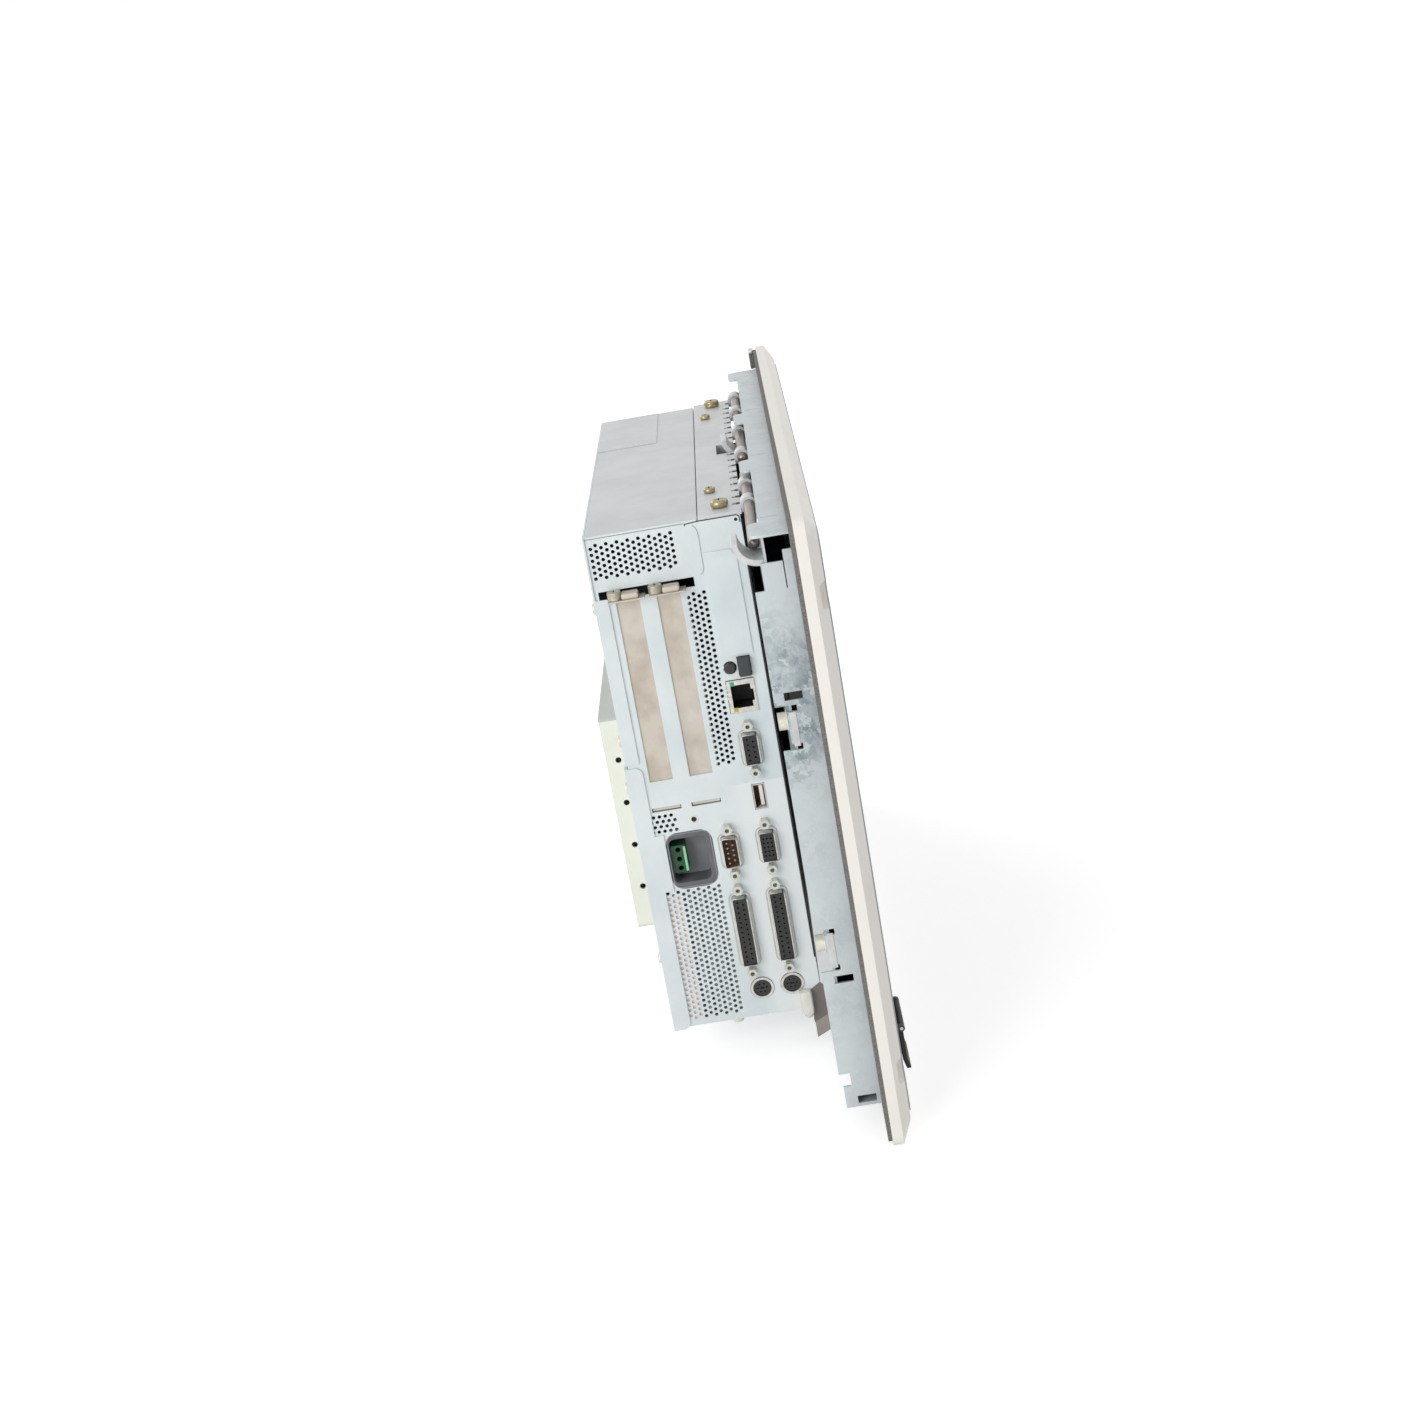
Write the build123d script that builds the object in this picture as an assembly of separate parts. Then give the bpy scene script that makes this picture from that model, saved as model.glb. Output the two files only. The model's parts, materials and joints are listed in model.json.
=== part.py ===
from build123d import *
import math
import os

# Panel-mounted industrial computer: a sealed operator front, a sheet-metal display frame behind it,
# and a computing unit that hangs from hinge rods at the frame's top and swings out for service.
# Lengths are in millimetres. X runs to the right seen from the operator's side, Y runs from the
# operator towards the rear and Z runs up. The origin is the centre of the sealing plane, where the
# gasket's rear face meets the wall that the computer is built into.

# Panel front, the 19-inch rack size that is seven units high
PANEL_WIDTH = 482.6
PANEL_HEIGHT = 310.3
PANEL_CORNER = 7.0
PANEL_BAND = 5.2
BEVEL_DEPTH = 5.0
BEVEL_WIDTH = 8.0
FRONT_WALL = 4.0
RACK_EDGE_X = 8.75
RACK_EDGE_Z = 37.675
RACK_SLOT_LENGTH = 10.3
RACK_SLOT_WIDTH = 6.8
SPOT_MARGIN = 2.8
SPOT_DEPTH = 2.8
GASKET_THICKNESS = 2.0
GASKET_INSET = 1.5
GASKET_SLOT_CLEARANCE = 1.0
FRAME_CLEARANCE = 0.4

# Display, window and key foil
WINDOW_ROOM_LEFT = 44.9
WINDOW_ROOM_RIGHT = 110.5
WINDOW_ROOM_LOW = 51.0
WINDOW_ROOM_HIGH = 21.6
GLASS_LEDGE = 5.0
GLASS_THICKNESS = 3.0
GLASS_CLEARANCE = 0.25
LCD_MARGIN_X = 13.0
LCD_MARGIN_Z = 10.5
LCD_THICKNESS = 10.0
LCD_RIM = 4.0
LCD_STEP = 1.5
FOIL_THICKNESS = 0.7
FOIL_MARGIN = 3.0
KEY_SIZE = 13.0
KEY_CORNER = 2.0
KEY_RISE = 0.6
PAD_ROWS = 6
KEY_PITCH = 17.5
SOFT_KEY_PITCH = 22.0
INVERTER_WIDTH = 32.0
INVERTER_HEIGHT = 140.0
INVERTER_LEG = 3.5
INVERTER_PART = 5.0
INVERTER_PART_SHARES = (-0.3, -0.05, 0.25)
BOARD_THICKNESS = 1.6

# Front service port with its flap
PORT_FRAME_WIDTH = 34.0
PORT_FRAME_HEIGHT = 27.0
PORT_FRAME_THICKNESS = 1.0
PORT_EDGE_X = 4.0
PORT_EDGE_Z = 6.4
FLAP_WIDTH = 27.0
FLAP_HEIGHT = 24.6
FLAP_THICKNESS = 2.2
FLAP_AIR = 0.4
FLAP_LIP = 1.3
FLAP_LIP_HEIGHT = 5.0
FLAP_EAR = 2.5
FLAP_PIN_RADIUS = 0.8
FLAP_BARREL_RADIUS = 1.6
RUNNING_CLEARANCE = 0.05
SIDE_AIR = 0.4

# Display frame: galvanised sheet, folded into a shallow ring
FRAME_MARGIN_X = 25.3
FRAME_MARGIN_Z = 11.55
FRAME_RISE = 0.8
FRAME_DEPTH = 19.0
FRAME_SHEET = 1.3
FRAME_FLANGE = 12.0
BACK_PLATE_SHEET = 1.2
BACK_PLATE_PLACE = 11.5
NOTCH_HEIGHT = 21.6
NOTCH_BOTTOM = 9.0
NOTCH_RELIEF = 3.0
NOTCH_HIGH_SHARES = (0.6442, 0.2531)
TAB_REACH = 13.0
SLOT_HEIGHT = 3.9
EAR_PLACES_SHARES = (0.4706, 0.1477)
EAR_WIDTH = 25.0
EAR_LENGTH = 5.3
EAR_CORNER = 4.0
EAR_SLIT_WIDTH = 1.0
EAR_SLIT_GAP = 7.5
EAR_SLIT_LENGTH = 8.0
FRAME_SCREW_RADIUS = 4.2
FRAME_SCREW_HEAD = 4.0
FRAME_WASHER_RADIUS = 5.0
FRAME_WASHER = 0.6
FRAME_SCREW_SHANK = 1.9
SCREW_HOLE_CLEARANCE = 0.2
FRAME_SCREW_RISE = 3.5
# Pieces cut from each side wall, as shares of the frame's depth, from and to, and of its height
SIDE_CUT_SHARES = (
    (0.216, 1.1, 0.9544, 1.0),
    (0.0, 0.216, 0.9718, 1.0),
    (0.758, 1.1, 0.9100, 1.0),
    (0.216, 0.242, 0.9100, 0.9544),
    (0.895, 1.1, -0.1, 0.0400),
    (0.684, 1.1, 0.0400, 0.0637),
    (0.965, 1.1, 0.0637, 0.6442),
)
# Slots of each side wall, as shares of the frame's depth, from and to, and of its height
SIDE_SLOT_SHARES = (
    (0.289, 0.737, 0.7277),
    (0.189, 0.674, 0.2295),
    (0.105, 0.579, 0.0059),
)

# Computing unit
UNIT_WIDTH = 297.0
UNIT_HEIGHT = 267.0
UNIT_DEPTH = 78.0
UNIT_FROM_FRAME_SIDE = 40.3
UNIT_ABOVE_FRAME_FLOOR = 10.1
UNIT_GAP = 2.0
SHEET = 1.0
HEM_WIDTH = 10.0
HEM_LENGTH = 27.0

# Hinge: rods on the unit lie in hooks on the frame
ROD_RADIUS = 2.75
ROD_FORWARD = 5.0
ROD_RISE = 2.0
ROD_IN_HOOK = 5.6
ROD_START_SHARES = (0.3872, 0.7912)
ROD_END_SHARES = (0.2424, 0.6667, 0.995)
LUG_WALL = 1.5
LUG_WIDTH = 9.0
LUG_PLACE_SHARES = (0.0250, 0.1600, 0.4120, 0.6250, 0.8180, 0.9740)
LUG_WINDOW_MARGIN = 1.2
HOOK_WIDTH = 21.2
HOOK_WALL = 3.0
HOOK_OFFSET_Y = 1.5
HOOK_OFFSET_Z = 5.5
HOOK_FOOT = 12.0
HOOK_AIR = 0.3
HOOK_MIDDLE_SHARE = 0.5135
BRACKET_SHEET = 2.0
BRACKET_DEPTH = 20.5
BRACKET_CUT_MARGIN = 2.0
BRACKET_SLOT_LENGTH = 3.0
BRACKET_SLOT_WIDTH = 2.0
BRACKET_SLOT_PITCH = 15.0
TOP_SCREW_EDGE = 13.5
TOP_SCREW_INSET = 49.5

# Ventilation holes
VENT_RADIUS = 0.95
VENT_COLUMN_PITCH = 2.65
VENT_ROW_PITCH = 3.03
CORNER_VENT_COLUMN_PITCH = 1.51
CORNER_VENT_ROW_PITCH = 5.39
# Vent fields of the port side: shares of the unit's depth from the rear and of its height, then
# columns, rows and whether the rearmost column is the raised one
PORT_VENT_SHARES = (
    (0.0423, 0.9210, 16, 6, False),
    (0.5936, 0.5281, 4, 30, False),
    (0.1154, 0.0169, 11, 24, True),
)
CORNER_VENT_SHARES = (0.0962, 0.4116)
CORNER_VENT_COLUMNS = 9
CORNER_VENT_ROWS = 2
DRIVE_VENT_COLUMNS = 8
DRIVE_VENT_ROWS = 30
FLOOR_VENT_COLUMNS = 20
FLOOR_VENT_ROWS = 5
FLOOR_VENT_PITCH = 4.55
FLOOR_VENT_INSET = 36.4
FLOOR_VENT_BACK = 6.0

# Card slots on the port side
SLOT_PITCH = 20.32
SLOT_WINDOW_WIDTH = 11.8
SLOT_WINDOW_HEIGHT = 97.0
SLOT_FIRST_BACK = 16.5
SLOT_WINDOW_LOW = 137.0
LEDGE_OPENING_HEIGHT = 4.9
LEDGE_OPENING_BACK = 3.0
LEDGE_OPENING_LENGTH = 47.5
BLANK_WIDTH = 18.42
BLANK_SHEET = 0.9
BLANK_DROP = 14.0
BLANK_TAB_REACH = 7.5
TAIL_SLIT_HEIGHT = 2.3
TAIL_SLIT_WIDTH = 15.0
SLOT_SCREW_RADIUS = 3.5
SLOT_SCREW_HEAD = 2.6
SCREW_CROSS_WIDTH = 0.8
SCREW_CROSS_DEPTH = 0.9

# Connectors on the port side
FRONT_COLUMN = 64.0
REAR_COLUMN = 44.7
DIN_HEIGHT = 15.4
DIN_RADIUS = 6.0
DIN_INSERT_RADIUS = 4.8
DIN_BODY = 14.0
DIN_BODY_DEPTH = 12.0
DIN_PROUD = 0.6
DIN_GAP = 0.7
DIN_SHIFT = 3.5
DIN_PINS = 6
DIN_KEY_LENGTH = 2.0
DIN_KEY_WIDTH = 1.0
CONTACT_RADIUS = 0.5
D_FLANGE_WIDTH = 12.5
D_FLANGE = 0.8
D_SHELL_WIDTH = 8.2
D_SHELL_WALL = 0.5
D_SHELL_CORNER = 1.6
D_SHELL_SLANT = 0.75
D_SHELL_PROUD = 4.5
D_BODY_DEPTH = 9.0
D_GAP = 2.4
D25_LENGTH = 53.0
D25_SHELL = 38.8
D25_SCREWS = 47.04
D9_LENGTH = 30.8
D9_SHELL = 16.8
D9_SCREWS = 24.99
D_ROW_PITCH = 2.84
D_PIN_PITCH = 2.77
VIDEO_ROW_PITCH = 1.98
VIDEO_PIN_PITCH = 2.29
JACK_ACROSS = 4.75
JACK_PROUD = 5.0
JACK_BORE = 1.15
JACK_SHANK = 1.4
JACK_SHANK_LENGTH = 3.0
PORT_CLEARANCE = 0.3
USB_WIDTH = 6.2
USB_LENGTH = 13.4
USB_DEPTH = 14.0
USB_WALL = 0.4
USB_TONGUE = 1.9
USB_GAP = 4.4
LAN_WIDTH = 14.0
LAN_LENGTH = 17.0
LAN_DEPTH = 16.0
LAN_PROUD = 0.8
LAN_MOUTH_WIDTH = 9.6
LAN_MOUTH_LENGTH = 12.0
LAN_MOUTH_DEPTH = 13.0
LAN_KEY_WIDTH = 2.4
LAN_KEY_LENGTH = 6.0
LAN_LAMP = 1.6
LAN_GAP = 3.8
COVER_HEIGHT = 54.0
COVER_WIDTH = 16.0
COVER_TOP_DROP = 17.0
COVER_SHEET = 0.8
COVER_LIP = 2.0
COVER_FRONT = 5.0
BUTTON_GAP = 1.0
EJECT_WIDTH = 6.7
EJECT_HEIGHT = 10.3
EJECT_PROUD = 3.4
EJECT_ROD = 26.0
EJECT_ROD_WIDTH = 3.4
EJECT_ROD_HEIGHT = 5.0
RESET_RADIUS = 3.1
RESET_BACK = 60.4
RESET_PROUD = 1.2
RESET_INNER = 4.0
RESET_TRAVEL = 1.2
CAGE_LENGTH = 88.0
CAGE_THICKNESS = 13.0
CAGE_SHEET = 0.8

# Power inlet
RECESS_WIDTH = 24.0
RECESS_HEIGHT = 31.0
RECESS_CORNER = 6.5
RECESS_BACK = 12.5
RECESS_LOW = 77.0
RECESS_DEPTH = 12.0
RECESS_RIM = 3.5
RECESS_REAR_RIM = 1.5
TERMINAL_WIDTH = 8.0
TERMINAL_HEIGHT = 15.0
TERMINAL_DEPTH = 9.0
TERMINAL_WAYS = 3
TERMINAL_HOLE = 1.3

# Inside the unit
BOARD_AIR = 3.4
BOARD_MARGIN_X = 3.0
BOARD_MARGIN_Z = 6.0
BOARD_FAR_MARGIN = 45.0
STANDOFF_RADIUS = 2.5
STANDOFF_INSET = 10.0
STANDOFF_FAR_INSET = 50.0
CHIP_SIZE = 24.0
CHIP_PLACE_SHARES = ((0.35, 0.25), (0.55, 0.62), (0.75, 0.25))
RISER_THICKNESS = 4.0
RISER_HEIGHT = 8.0
RISER_MARGIN = 8.0
BUS_LENGTH = 112.0
BUS_START = 50.0
BUS_DEPTH = 52.0
CARD_SOCKET_WIDTH = 5.0
CARD_SOCKET_HEIGHT = 11.0
CARD_SOCKET_LENGTH = 84.0
SOCKET_SLOT = 1.8
SUPPLY_WIDTH = 26.5
SUPPLY_HEIGHT = 110.0
SUPPLY_LENGTH = 126.0
SUPPLY_BACK = 14.5
FAN_SIZE = 40.0
FAN_THICKNESS = 20.0
FAN_BORE = 18.6
FAN_BACK = 2.07
FAN_HOLE = 1.5
FAN_ARMS = 3
FAN_HUB = 8.0
FAN_TIP_AIR = 0.9
FAN_BLADES = 7
FAN_BLADE_SHEET = 1.2
FAN_BLADE_TWIST = 38.0
FAN_BLADE_SHARE = 0.8
FAN_PIN = 1.5
FAN_SPIDER = 2.5
FAN_AIR = 1.0
SINK_LENGTH = 60.0
SINK_FROM_SIDE = 80.0
SINK_LOW = 149.5
SINK_HEIGHT = 60.0
SINK_BASE = 4.0
SINK_DEPTH = 21.0
SINK_FIN = 1.5
SINK_FINS = 11
DISK_LENGTH = 147.0
DISK_HEIGHT = 101.6
DISK_THICKNESS = 25.4
DISK_LID = 1.5
DISK_LID_MARGIN = 4.0
DISK_CORNER = 3.0

# Rear covers
LOWER_LAP = 8.0
UPPER_LAP = 7.2
SPLIT_HEIGHT = 147.0
UPPER_FLANGE_TOP = 235.0
HATCH_SHEET = 2.0
HATCH_CORNER = 4.0
DISK_WINDOW_MARGIN = 2.0
BUMP_LENGTH = 160.0
BUMP_HEIGHT = 120.0
BUMP_DEPTH = 12.0
BUMP_START = 40.0
BUMP_LOW = 42.0
BUMP_WALL = 1.2
BUMP_CORNER = 3.0
BUMP_VENT_RADIUS = 1.6
BUMP_VENT_COUNT = 4
SMALL_SCREW_RADIUS = 3.0
SMALL_SCREW_HEAD = 2.2
BIG_SCREW_RADIUS = 4.5
BIG_SCREW_HEAD = 3.2
BACK_SCREW_EDGE = 5.0
FLOOR_SCREW_BACK = 32.8
FLOOR_SCREW_EDGE = 5.3
FLOOR_SCREW_HEAD = 4.0
BACK_SCREW_HEIGHT_SHARES = (0.1367, 0.4959, 0.5910, 0.8554)

# Drives on the far side
DRIVE_THICKNESS = 12.7
DRIVE_BACK = 20.0
OPTICAL_WIDTH = 128.0
OPTICAL_DEPTH = 126.0
OPTICAL_LOW = 125.0
DRIVE_WALL = 0.9
TRAY_AIR = 0.5
TRAY_BEZEL = 2.6
DISC_RADIUS = 60.2
DISC_RECESS = 2.0
DISC_HUB = 7.5
TRAY_BUTTON_WIDTH = 10.0
TRAY_BUTTON_HEIGHT = 3.6
TRAY_BUTTON_TRAVEL = 1.0
FLOPPY_WIDTH = 101.0
FLOPPY_DEPTH = 128.0
FLOPPY_LOW = 12.0
FLOPPY_SLOT = 5.0
FLOPPY_SLOT_WIDTH = 92.0
FLOPPY_SLOT_DEPTH = 96.0
FLOPPY_BUTTON_WIDTH = 12.0
FLOPPY_BUTTON_HEIGHT = 4.0
FLOPPY_BUTTON_PROUD = 7.0
FLOPPY_BUTTON_DEPTH = 10.0
FLOPPY_BUTTON_TRAVEL = 6.0
DRIVE_OPENING_CLEARANCE = 0.4
CRADLE_SHEET = 1.0
CRADLE_LENGTH = 92.0
CRADLE_FLANGE = 10.0

# Locking post and cable tag at the lower corner
POST_RADIUS = 2.4
POST_HEIGHT = 9.5
POST_BACK = 69.8
POST_RISE = 5.0
TAG_FOIL = 0.4
TAG_WIDTH = 8.0
TAG_HEIGHT = 18.5
TAG_LOWER_HEIGHT = 9.0
TAG_BACK = 72.0
TAG_RISE = 13.5
TAG_SLANT = 3.8

# Sheets and cuts
CUT_OVERRUN = 5.0

# Places that follow from the sizes above
panel_rear = -GASKET_THICKNESS
panel_front = panel_rear - PANEL_BAND - BEVEL_DEPTH
wall_inside = panel_front + FRONT_WALL
rack_spacing_x = PANEL_WIDTH - 2 * RACK_EDGE_X
rack_spacing_z = PANEL_HEIGHT - 2 * RACK_EDGE_Z
frame_width = PANEL_WIDTH - 2 * FRAME_MARGIN_X
frame_height = PANEL_HEIGHT - 2 * FRAME_MARGIN_Z
frame_left = -frame_width / 2
frame_right = frame_width / 2
frame_floor = FRAME_RISE - frame_height / 2
frame_roof = FRAME_RISE + frame_height / 2
flange_left = frame_left + FRAME_SHEET + FRAME_FLANGE
flange_right = frame_right - FRAME_SHEET - FRAME_FLANGE
flange_floor = frame_floor + FRAME_SHEET + FRAME_FLANGE
flange_roof = frame_roof - FRAME_SHEET - FRAME_FLANGE
window_width = flange_right - WINDOW_ROOM_RIGHT - flange_left - WINDOW_ROOM_LEFT
window_height = flange_roof - WINDOW_ROOM_HIGH - flange_floor - WINDOW_ROOM_LOW
back_plate_rear = BACK_PLATE_PLACE + BACK_PLATE_SHEET
unit_left = frame_right - UNIT_FROM_FRAME_SIDE - UNIT_WIDTH
unit_right = unit_left + UNIT_WIDTH
unit_floor = frame_floor + UNIT_ABOVE_FRAME_FLOOR
unit_roof = unit_floor + UNIT_HEIGHT
unit_front = FRAME_DEPTH + UNIT_GAP
unit_rear = unit_front + UNIT_DEPTH
inner_left = unit_left + SHEET
inner_right = unit_right - SHEET
inner_floor = unit_floor + SHEET
inner_roof = unit_roof - SHEET
cover_plane = unit_rear - SHEET
rod_y = unit_front - ROD_FORWARD
rod_z = unit_roof + ROD_RISE
hook_radius = math.hypot(HOOK_OFFSET_Y, HOOK_OFFSET_Z) + ROD_RADIUS + HOOK_AIR
hook_y = rod_y - HOOK_OFFSET_Y
hook_z = rod_z + HOOK_OFFSET_Z
display_x = flange_left + WINDOW_ROOM_LEFT + window_width / 2
display_z = flange_floor + WINDOW_ROOM_LOW + window_height / 2
port_x = flange_left + PORT_EDGE_X + USB_LENGTH / 2
port_z = flange_floor + PORT_EDGE_Z + USB_WIDTH / 2
port_frame_front = panel_front - PORT_FRAME_THICKNESS
flap_rear = port_frame_front - FLAP_AIR
flap_front = flap_rear - FLAP_THICKNESS
flap_axis_y = port_frame_front - FLAP_BARREL_RADIUS - FLAP_AIR
flap_axis_z = port_z + FLAP_HEIGHT / 2 - FLAP_BARREL_RADIUS
board_front = unit_front + SHEET + BOARD_AIR
board_rear = board_front + BOARD_THICKNESS
front_column_y = unit_rear - FRONT_COLUMN
rear_column_y = unit_rear - REAR_COLUMN
rear_din_y = rear_column_y - DIN_SHIFT
din_z = unit_floor + DIN_HEIGHT
d25_z = din_z + DIN_BODY / 2 + DIN_GAP + D25_LENGTH / 2
d9_z = d25_z + D25_LENGTH / 2 + D_GAP + D9_LENGTH / 2
usb_z = d9_z + D9_LENGTH / 2 + USB_GAP + USB_LENGTH / 2
d9_socket_z = usb_z + USB_LENGTH / 2 + USB_GAP + D9_LENGTH / 2
lan_z = d9_socket_z + D9_LENGTH / 2 + LAN_GAP + LAN_LENGTH / 2
cover_high = unit_roof - COVER_TOP_DROP
cover_front = unit_front + COVER_FRONT
cover_low = cover_high - COVER_HEIGHT
button_z = cover_low - BUTTON_GAP - EJECT_HEIGHT / 2
recess_y = unit_rear - RECESS_BACK - RECESS_WIDTH / 2
recess_z = unit_floor + RECESS_LOW + RECESS_HEIGHT / 2
slot_window_low = unit_floor + SLOT_WINDOW_LOW
slot_window_high = slot_window_low + SLOT_WINDOW_HEIGHT
slot_columns = [unit_rear - SLOT_FIRST_BACK - count * SLOT_PITCH for count in range(2)]
drive_rear = unit_rear - DRIVE_BACK
drive_front = drive_rear - DRIVE_THICKNESS
optical_low = unit_floor + OPTICAL_LOW
optical_high = optical_low + OPTICAL_WIDTH
floppy_low = unit_floor + FLOPPY_LOW
floppy_high = floppy_low + FLOPPY_WIDTH
bump_left = unit_left + BUMP_START
bump_right = bump_left + BUMP_LENGTH
bump_low = unit_floor + BUMP_LOW
bump_high = bump_low + BUMP_HEIGHT
hatch_rear = cover_plane + HATCH_SHEET
bump_rear = hatch_rear + BUMP_DEPTH
split_z = unit_floor + SPLIT_HEIGHT
disk_x = (bump_left + bump_right) / 2
disk_z = (bump_low + bump_high) / 2
disk_rear = bump_rear - BUMP_WALL


def mid(span):
    """Middle of a (low, high) pair."""
    return (span[0] + span[1]) / 2


def width(span):
    """Length of a (low, high) pair."""
    return span[1] - span[0]


def around(centre, size):
    """(low, high) pair of a given size about a centre."""
    return (centre - size / 2, centre + size / 2)


def block(x, y, z):
    """Box that fills three (low, high) pairs."""
    return Pos(mid(x), mid(y), mid(z)) * Box(width(x), width(y), width(z))


def rect(across, up, radius=0):
    """Rectangle in a drawing plane, with rounded corners when a radius is given."""
    if radius:
        shape = RectangleRounded(width(across), width(up), radius)
    else:
        shape = Rectangle(width(across), width(up))
    return Pos(mid(across), mid(up)) * shape


def disc(across, up, radius):
    """Circle in a drawing plane."""
    return Pos(across, up) * Circle(radius)


def drawing(axis, place):
    """Plane square to an axis: X sheets are drawn in (Y, Z), Y sheets in (X, Z), Z sheets in (X, Y)."""
    if axis == "X":
        return Plane(origin=(place, 0, 0), x_dir=(0, 1, 0), z_dir=(1, 0, 0))
    if axis == "Y":
        return Plane(origin=(0, place, 0), x_dir=(1, 0, 0), z_dir=(0, -1, 0))
    return Plane(origin=(0, 0, place), x_dir=(1, 0, 0), z_dir=(0, 0, 1))


def sheet(axis, span, outline, openings=()):
    """Flat plate over a span of one axis, with an outline and through openings."""
    plane = drawing(axis, span[0])
    outer = (plane * outline).face().outer_wire()
    inner = [(plane * opening).face().outer_wire() for opening in openings]
    way = {"X": (1, 0, 0), "Y": (0, 1, 0), "Z": (0, 0, 1)}[axis]
    return extrude(Face(outer, inner), width(span), dir=way)


def rod(axis, span, across, up, radius):
    """Round bar along an axis."""
    return sheet(axis, span, disc(across, up, radius))


def group(solids):
    """Separate solids kept together in one node."""
    return Compound(children=[solid for shape in solids for solid in shape.solids()])


def save(name, shape):
    """Write one sub-part, with each of its separate solids."""
    export_step(group([shape]), f"parts/{name}.step")


def cross_head(axis, seat, way, across, up, radius, height):
    """Screw head with a cross recess: it stands on a seat and points along way, +1 or -1."""
    top = seat + way * height
    head = rod(axis, sorted((seat, top)), across, up, radius)
    deep = sorted((top - way * SCREW_CROSS_DEPTH, top + way * CUT_OVERRUN))
    for size in ((radius, SCREW_CROSS_WIDTH), (SCREW_CROSS_WIDTH, radius)):
        head -= sheet(axis, deep, rect(around(across, size[0]), around(up, size[1])))
    return head


def front_bezel():
    """Bevelled front panel with the rear pocket, display window, port hole and rack slots."""
    outline = RectangleRounded(PANEL_WIDTH, PANEL_HEIGHT, PANEL_CORNER)
    face_width = PANEL_WIDTH - 2 * BEVEL_WIDTH
    face_height = PANEL_HEIGHT - 2 * BEVEL_WIDTH
    face = RectangleRounded(face_width, face_height, PANEL_CORNER)
    band_front = panel_rear - PANEL_BAND
    body = sheet("Y", (band_front, panel_rear), outline)
    body += loft([drawing("Y", band_front) * outline, drawing("Y", panel_front) * face], ruled=True)
    pocket = frame_inside(FRAME_SHEET + FRAME_FLANGE)
    body -= sheet("Y", (wall_inside, panel_rear + CUT_OVERRUN), pocket)
    through = (panel_front - CUT_OVERRUN, wall_inside + CUT_OVERRUN)
    body -= sheet("Y", through, window_outline(0))
    ledge = (panel_front - CUT_OVERRUN, panel_front + GLASS_THICKNESS)
    body -= sheet("Y", ledge, window_outline(GLASS_LEDGE))
    body -= sheet("Y", through, port_hole_outline(USB_WALL))
    for x, z in rack_places():
        slot = Pos(x, z) * SlotOverall(RACK_SLOT_LENGTH, RACK_SLOT_WIDTH)
        body -= sheet("Y", (panel_front - CUT_OVERRUN, panel_rear + CUT_OVERRUN), slot)
        spot_length = RACK_SLOT_LENGTH + 2 * SPOT_MARGIN
        spot = Pos(x, z) * SlotOverall(spot_length, RACK_SLOT_WIDTH + 2 * SPOT_MARGIN)
        body -= sheet("Y", (panel_front - CUT_OVERRUN, panel_front + SPOT_DEPTH), spot)
    return body


def rack_places():
    """Centres of the four rack slots, as (x, z)."""
    half_x = rack_spacing_x / 2
    half_z = rack_spacing_z / 2
    return [(x, z) for x in (-half_x, half_x) for z in (-half_z, half_z)]


def frame_inside(inset):
    """Frame outline drawn in by an inset, in (X, Z)."""
    across = (frame_left + inset, frame_right - inset)
    return rect(across, (frame_floor + inset, frame_roof - inset))


def window_outline(margin):
    """Display window grown by a margin, in (X, Z)."""
    across = around(display_x, window_width + 2 * margin)
    return rect(across, around(display_z, window_height + 2 * margin), PANEL_CORNER / 2)


def port_hole_outline(margin):
    """Hole for the front service socket, in (X, Z)."""
    clear = margin + PORT_CLEARANCE
    return rect(around(port_x, USB_LENGTH + 2 * clear), around(port_z, USB_WIDTH + 2 * clear))


def display_glass():
    """Window pane that lies on the ledge of the bezel."""
    margin = GLASS_LEDGE - GLASS_CLEARANCE
    return sheet("Y", (panel_front, panel_front + GLASS_THICKNESS), window_outline(margin))


def key_places():
    """Centres of the raised keys, as (x, z): soft keys, function keys and the number pad."""
    side = window_width / 2 + GLASS_LEDGE + KEY_SIZE
    places = []
    soft_keys = int(window_height / SOFT_KEY_PITCH)
    for row in range(soft_keys):
        z = display_z + (row - (soft_keys - 1) / 2) * SOFT_KEY_PITCH
        places += [(display_x - side, z), (display_x + side, z)]
    below = display_z - window_height / 2 - GLASS_LEDGE - KEY_SIZE
    function_keys = int(window_width / KEY_PITCH)
    for column in range(function_keys):
        places.append((display_x + (column - (function_keys - 1) / 2) * KEY_PITCH, below))
    pad_x = display_x + side + KEY_SIZE + KEY_PITCH
    pad_end = rack_spacing_x / 2 - RACK_SLOT_LENGTH / 2 - SPOT_MARGIN - 2 * KEY_SIZE
    for column in range(int((pad_end - pad_x) / KEY_PITCH) + 1):
        for row in range(PAD_ROWS):
            places.append((pad_x + column * KEY_PITCH, display_z + (row - PAD_ROWS / 2) * KEY_PITCH))
    return places


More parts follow.
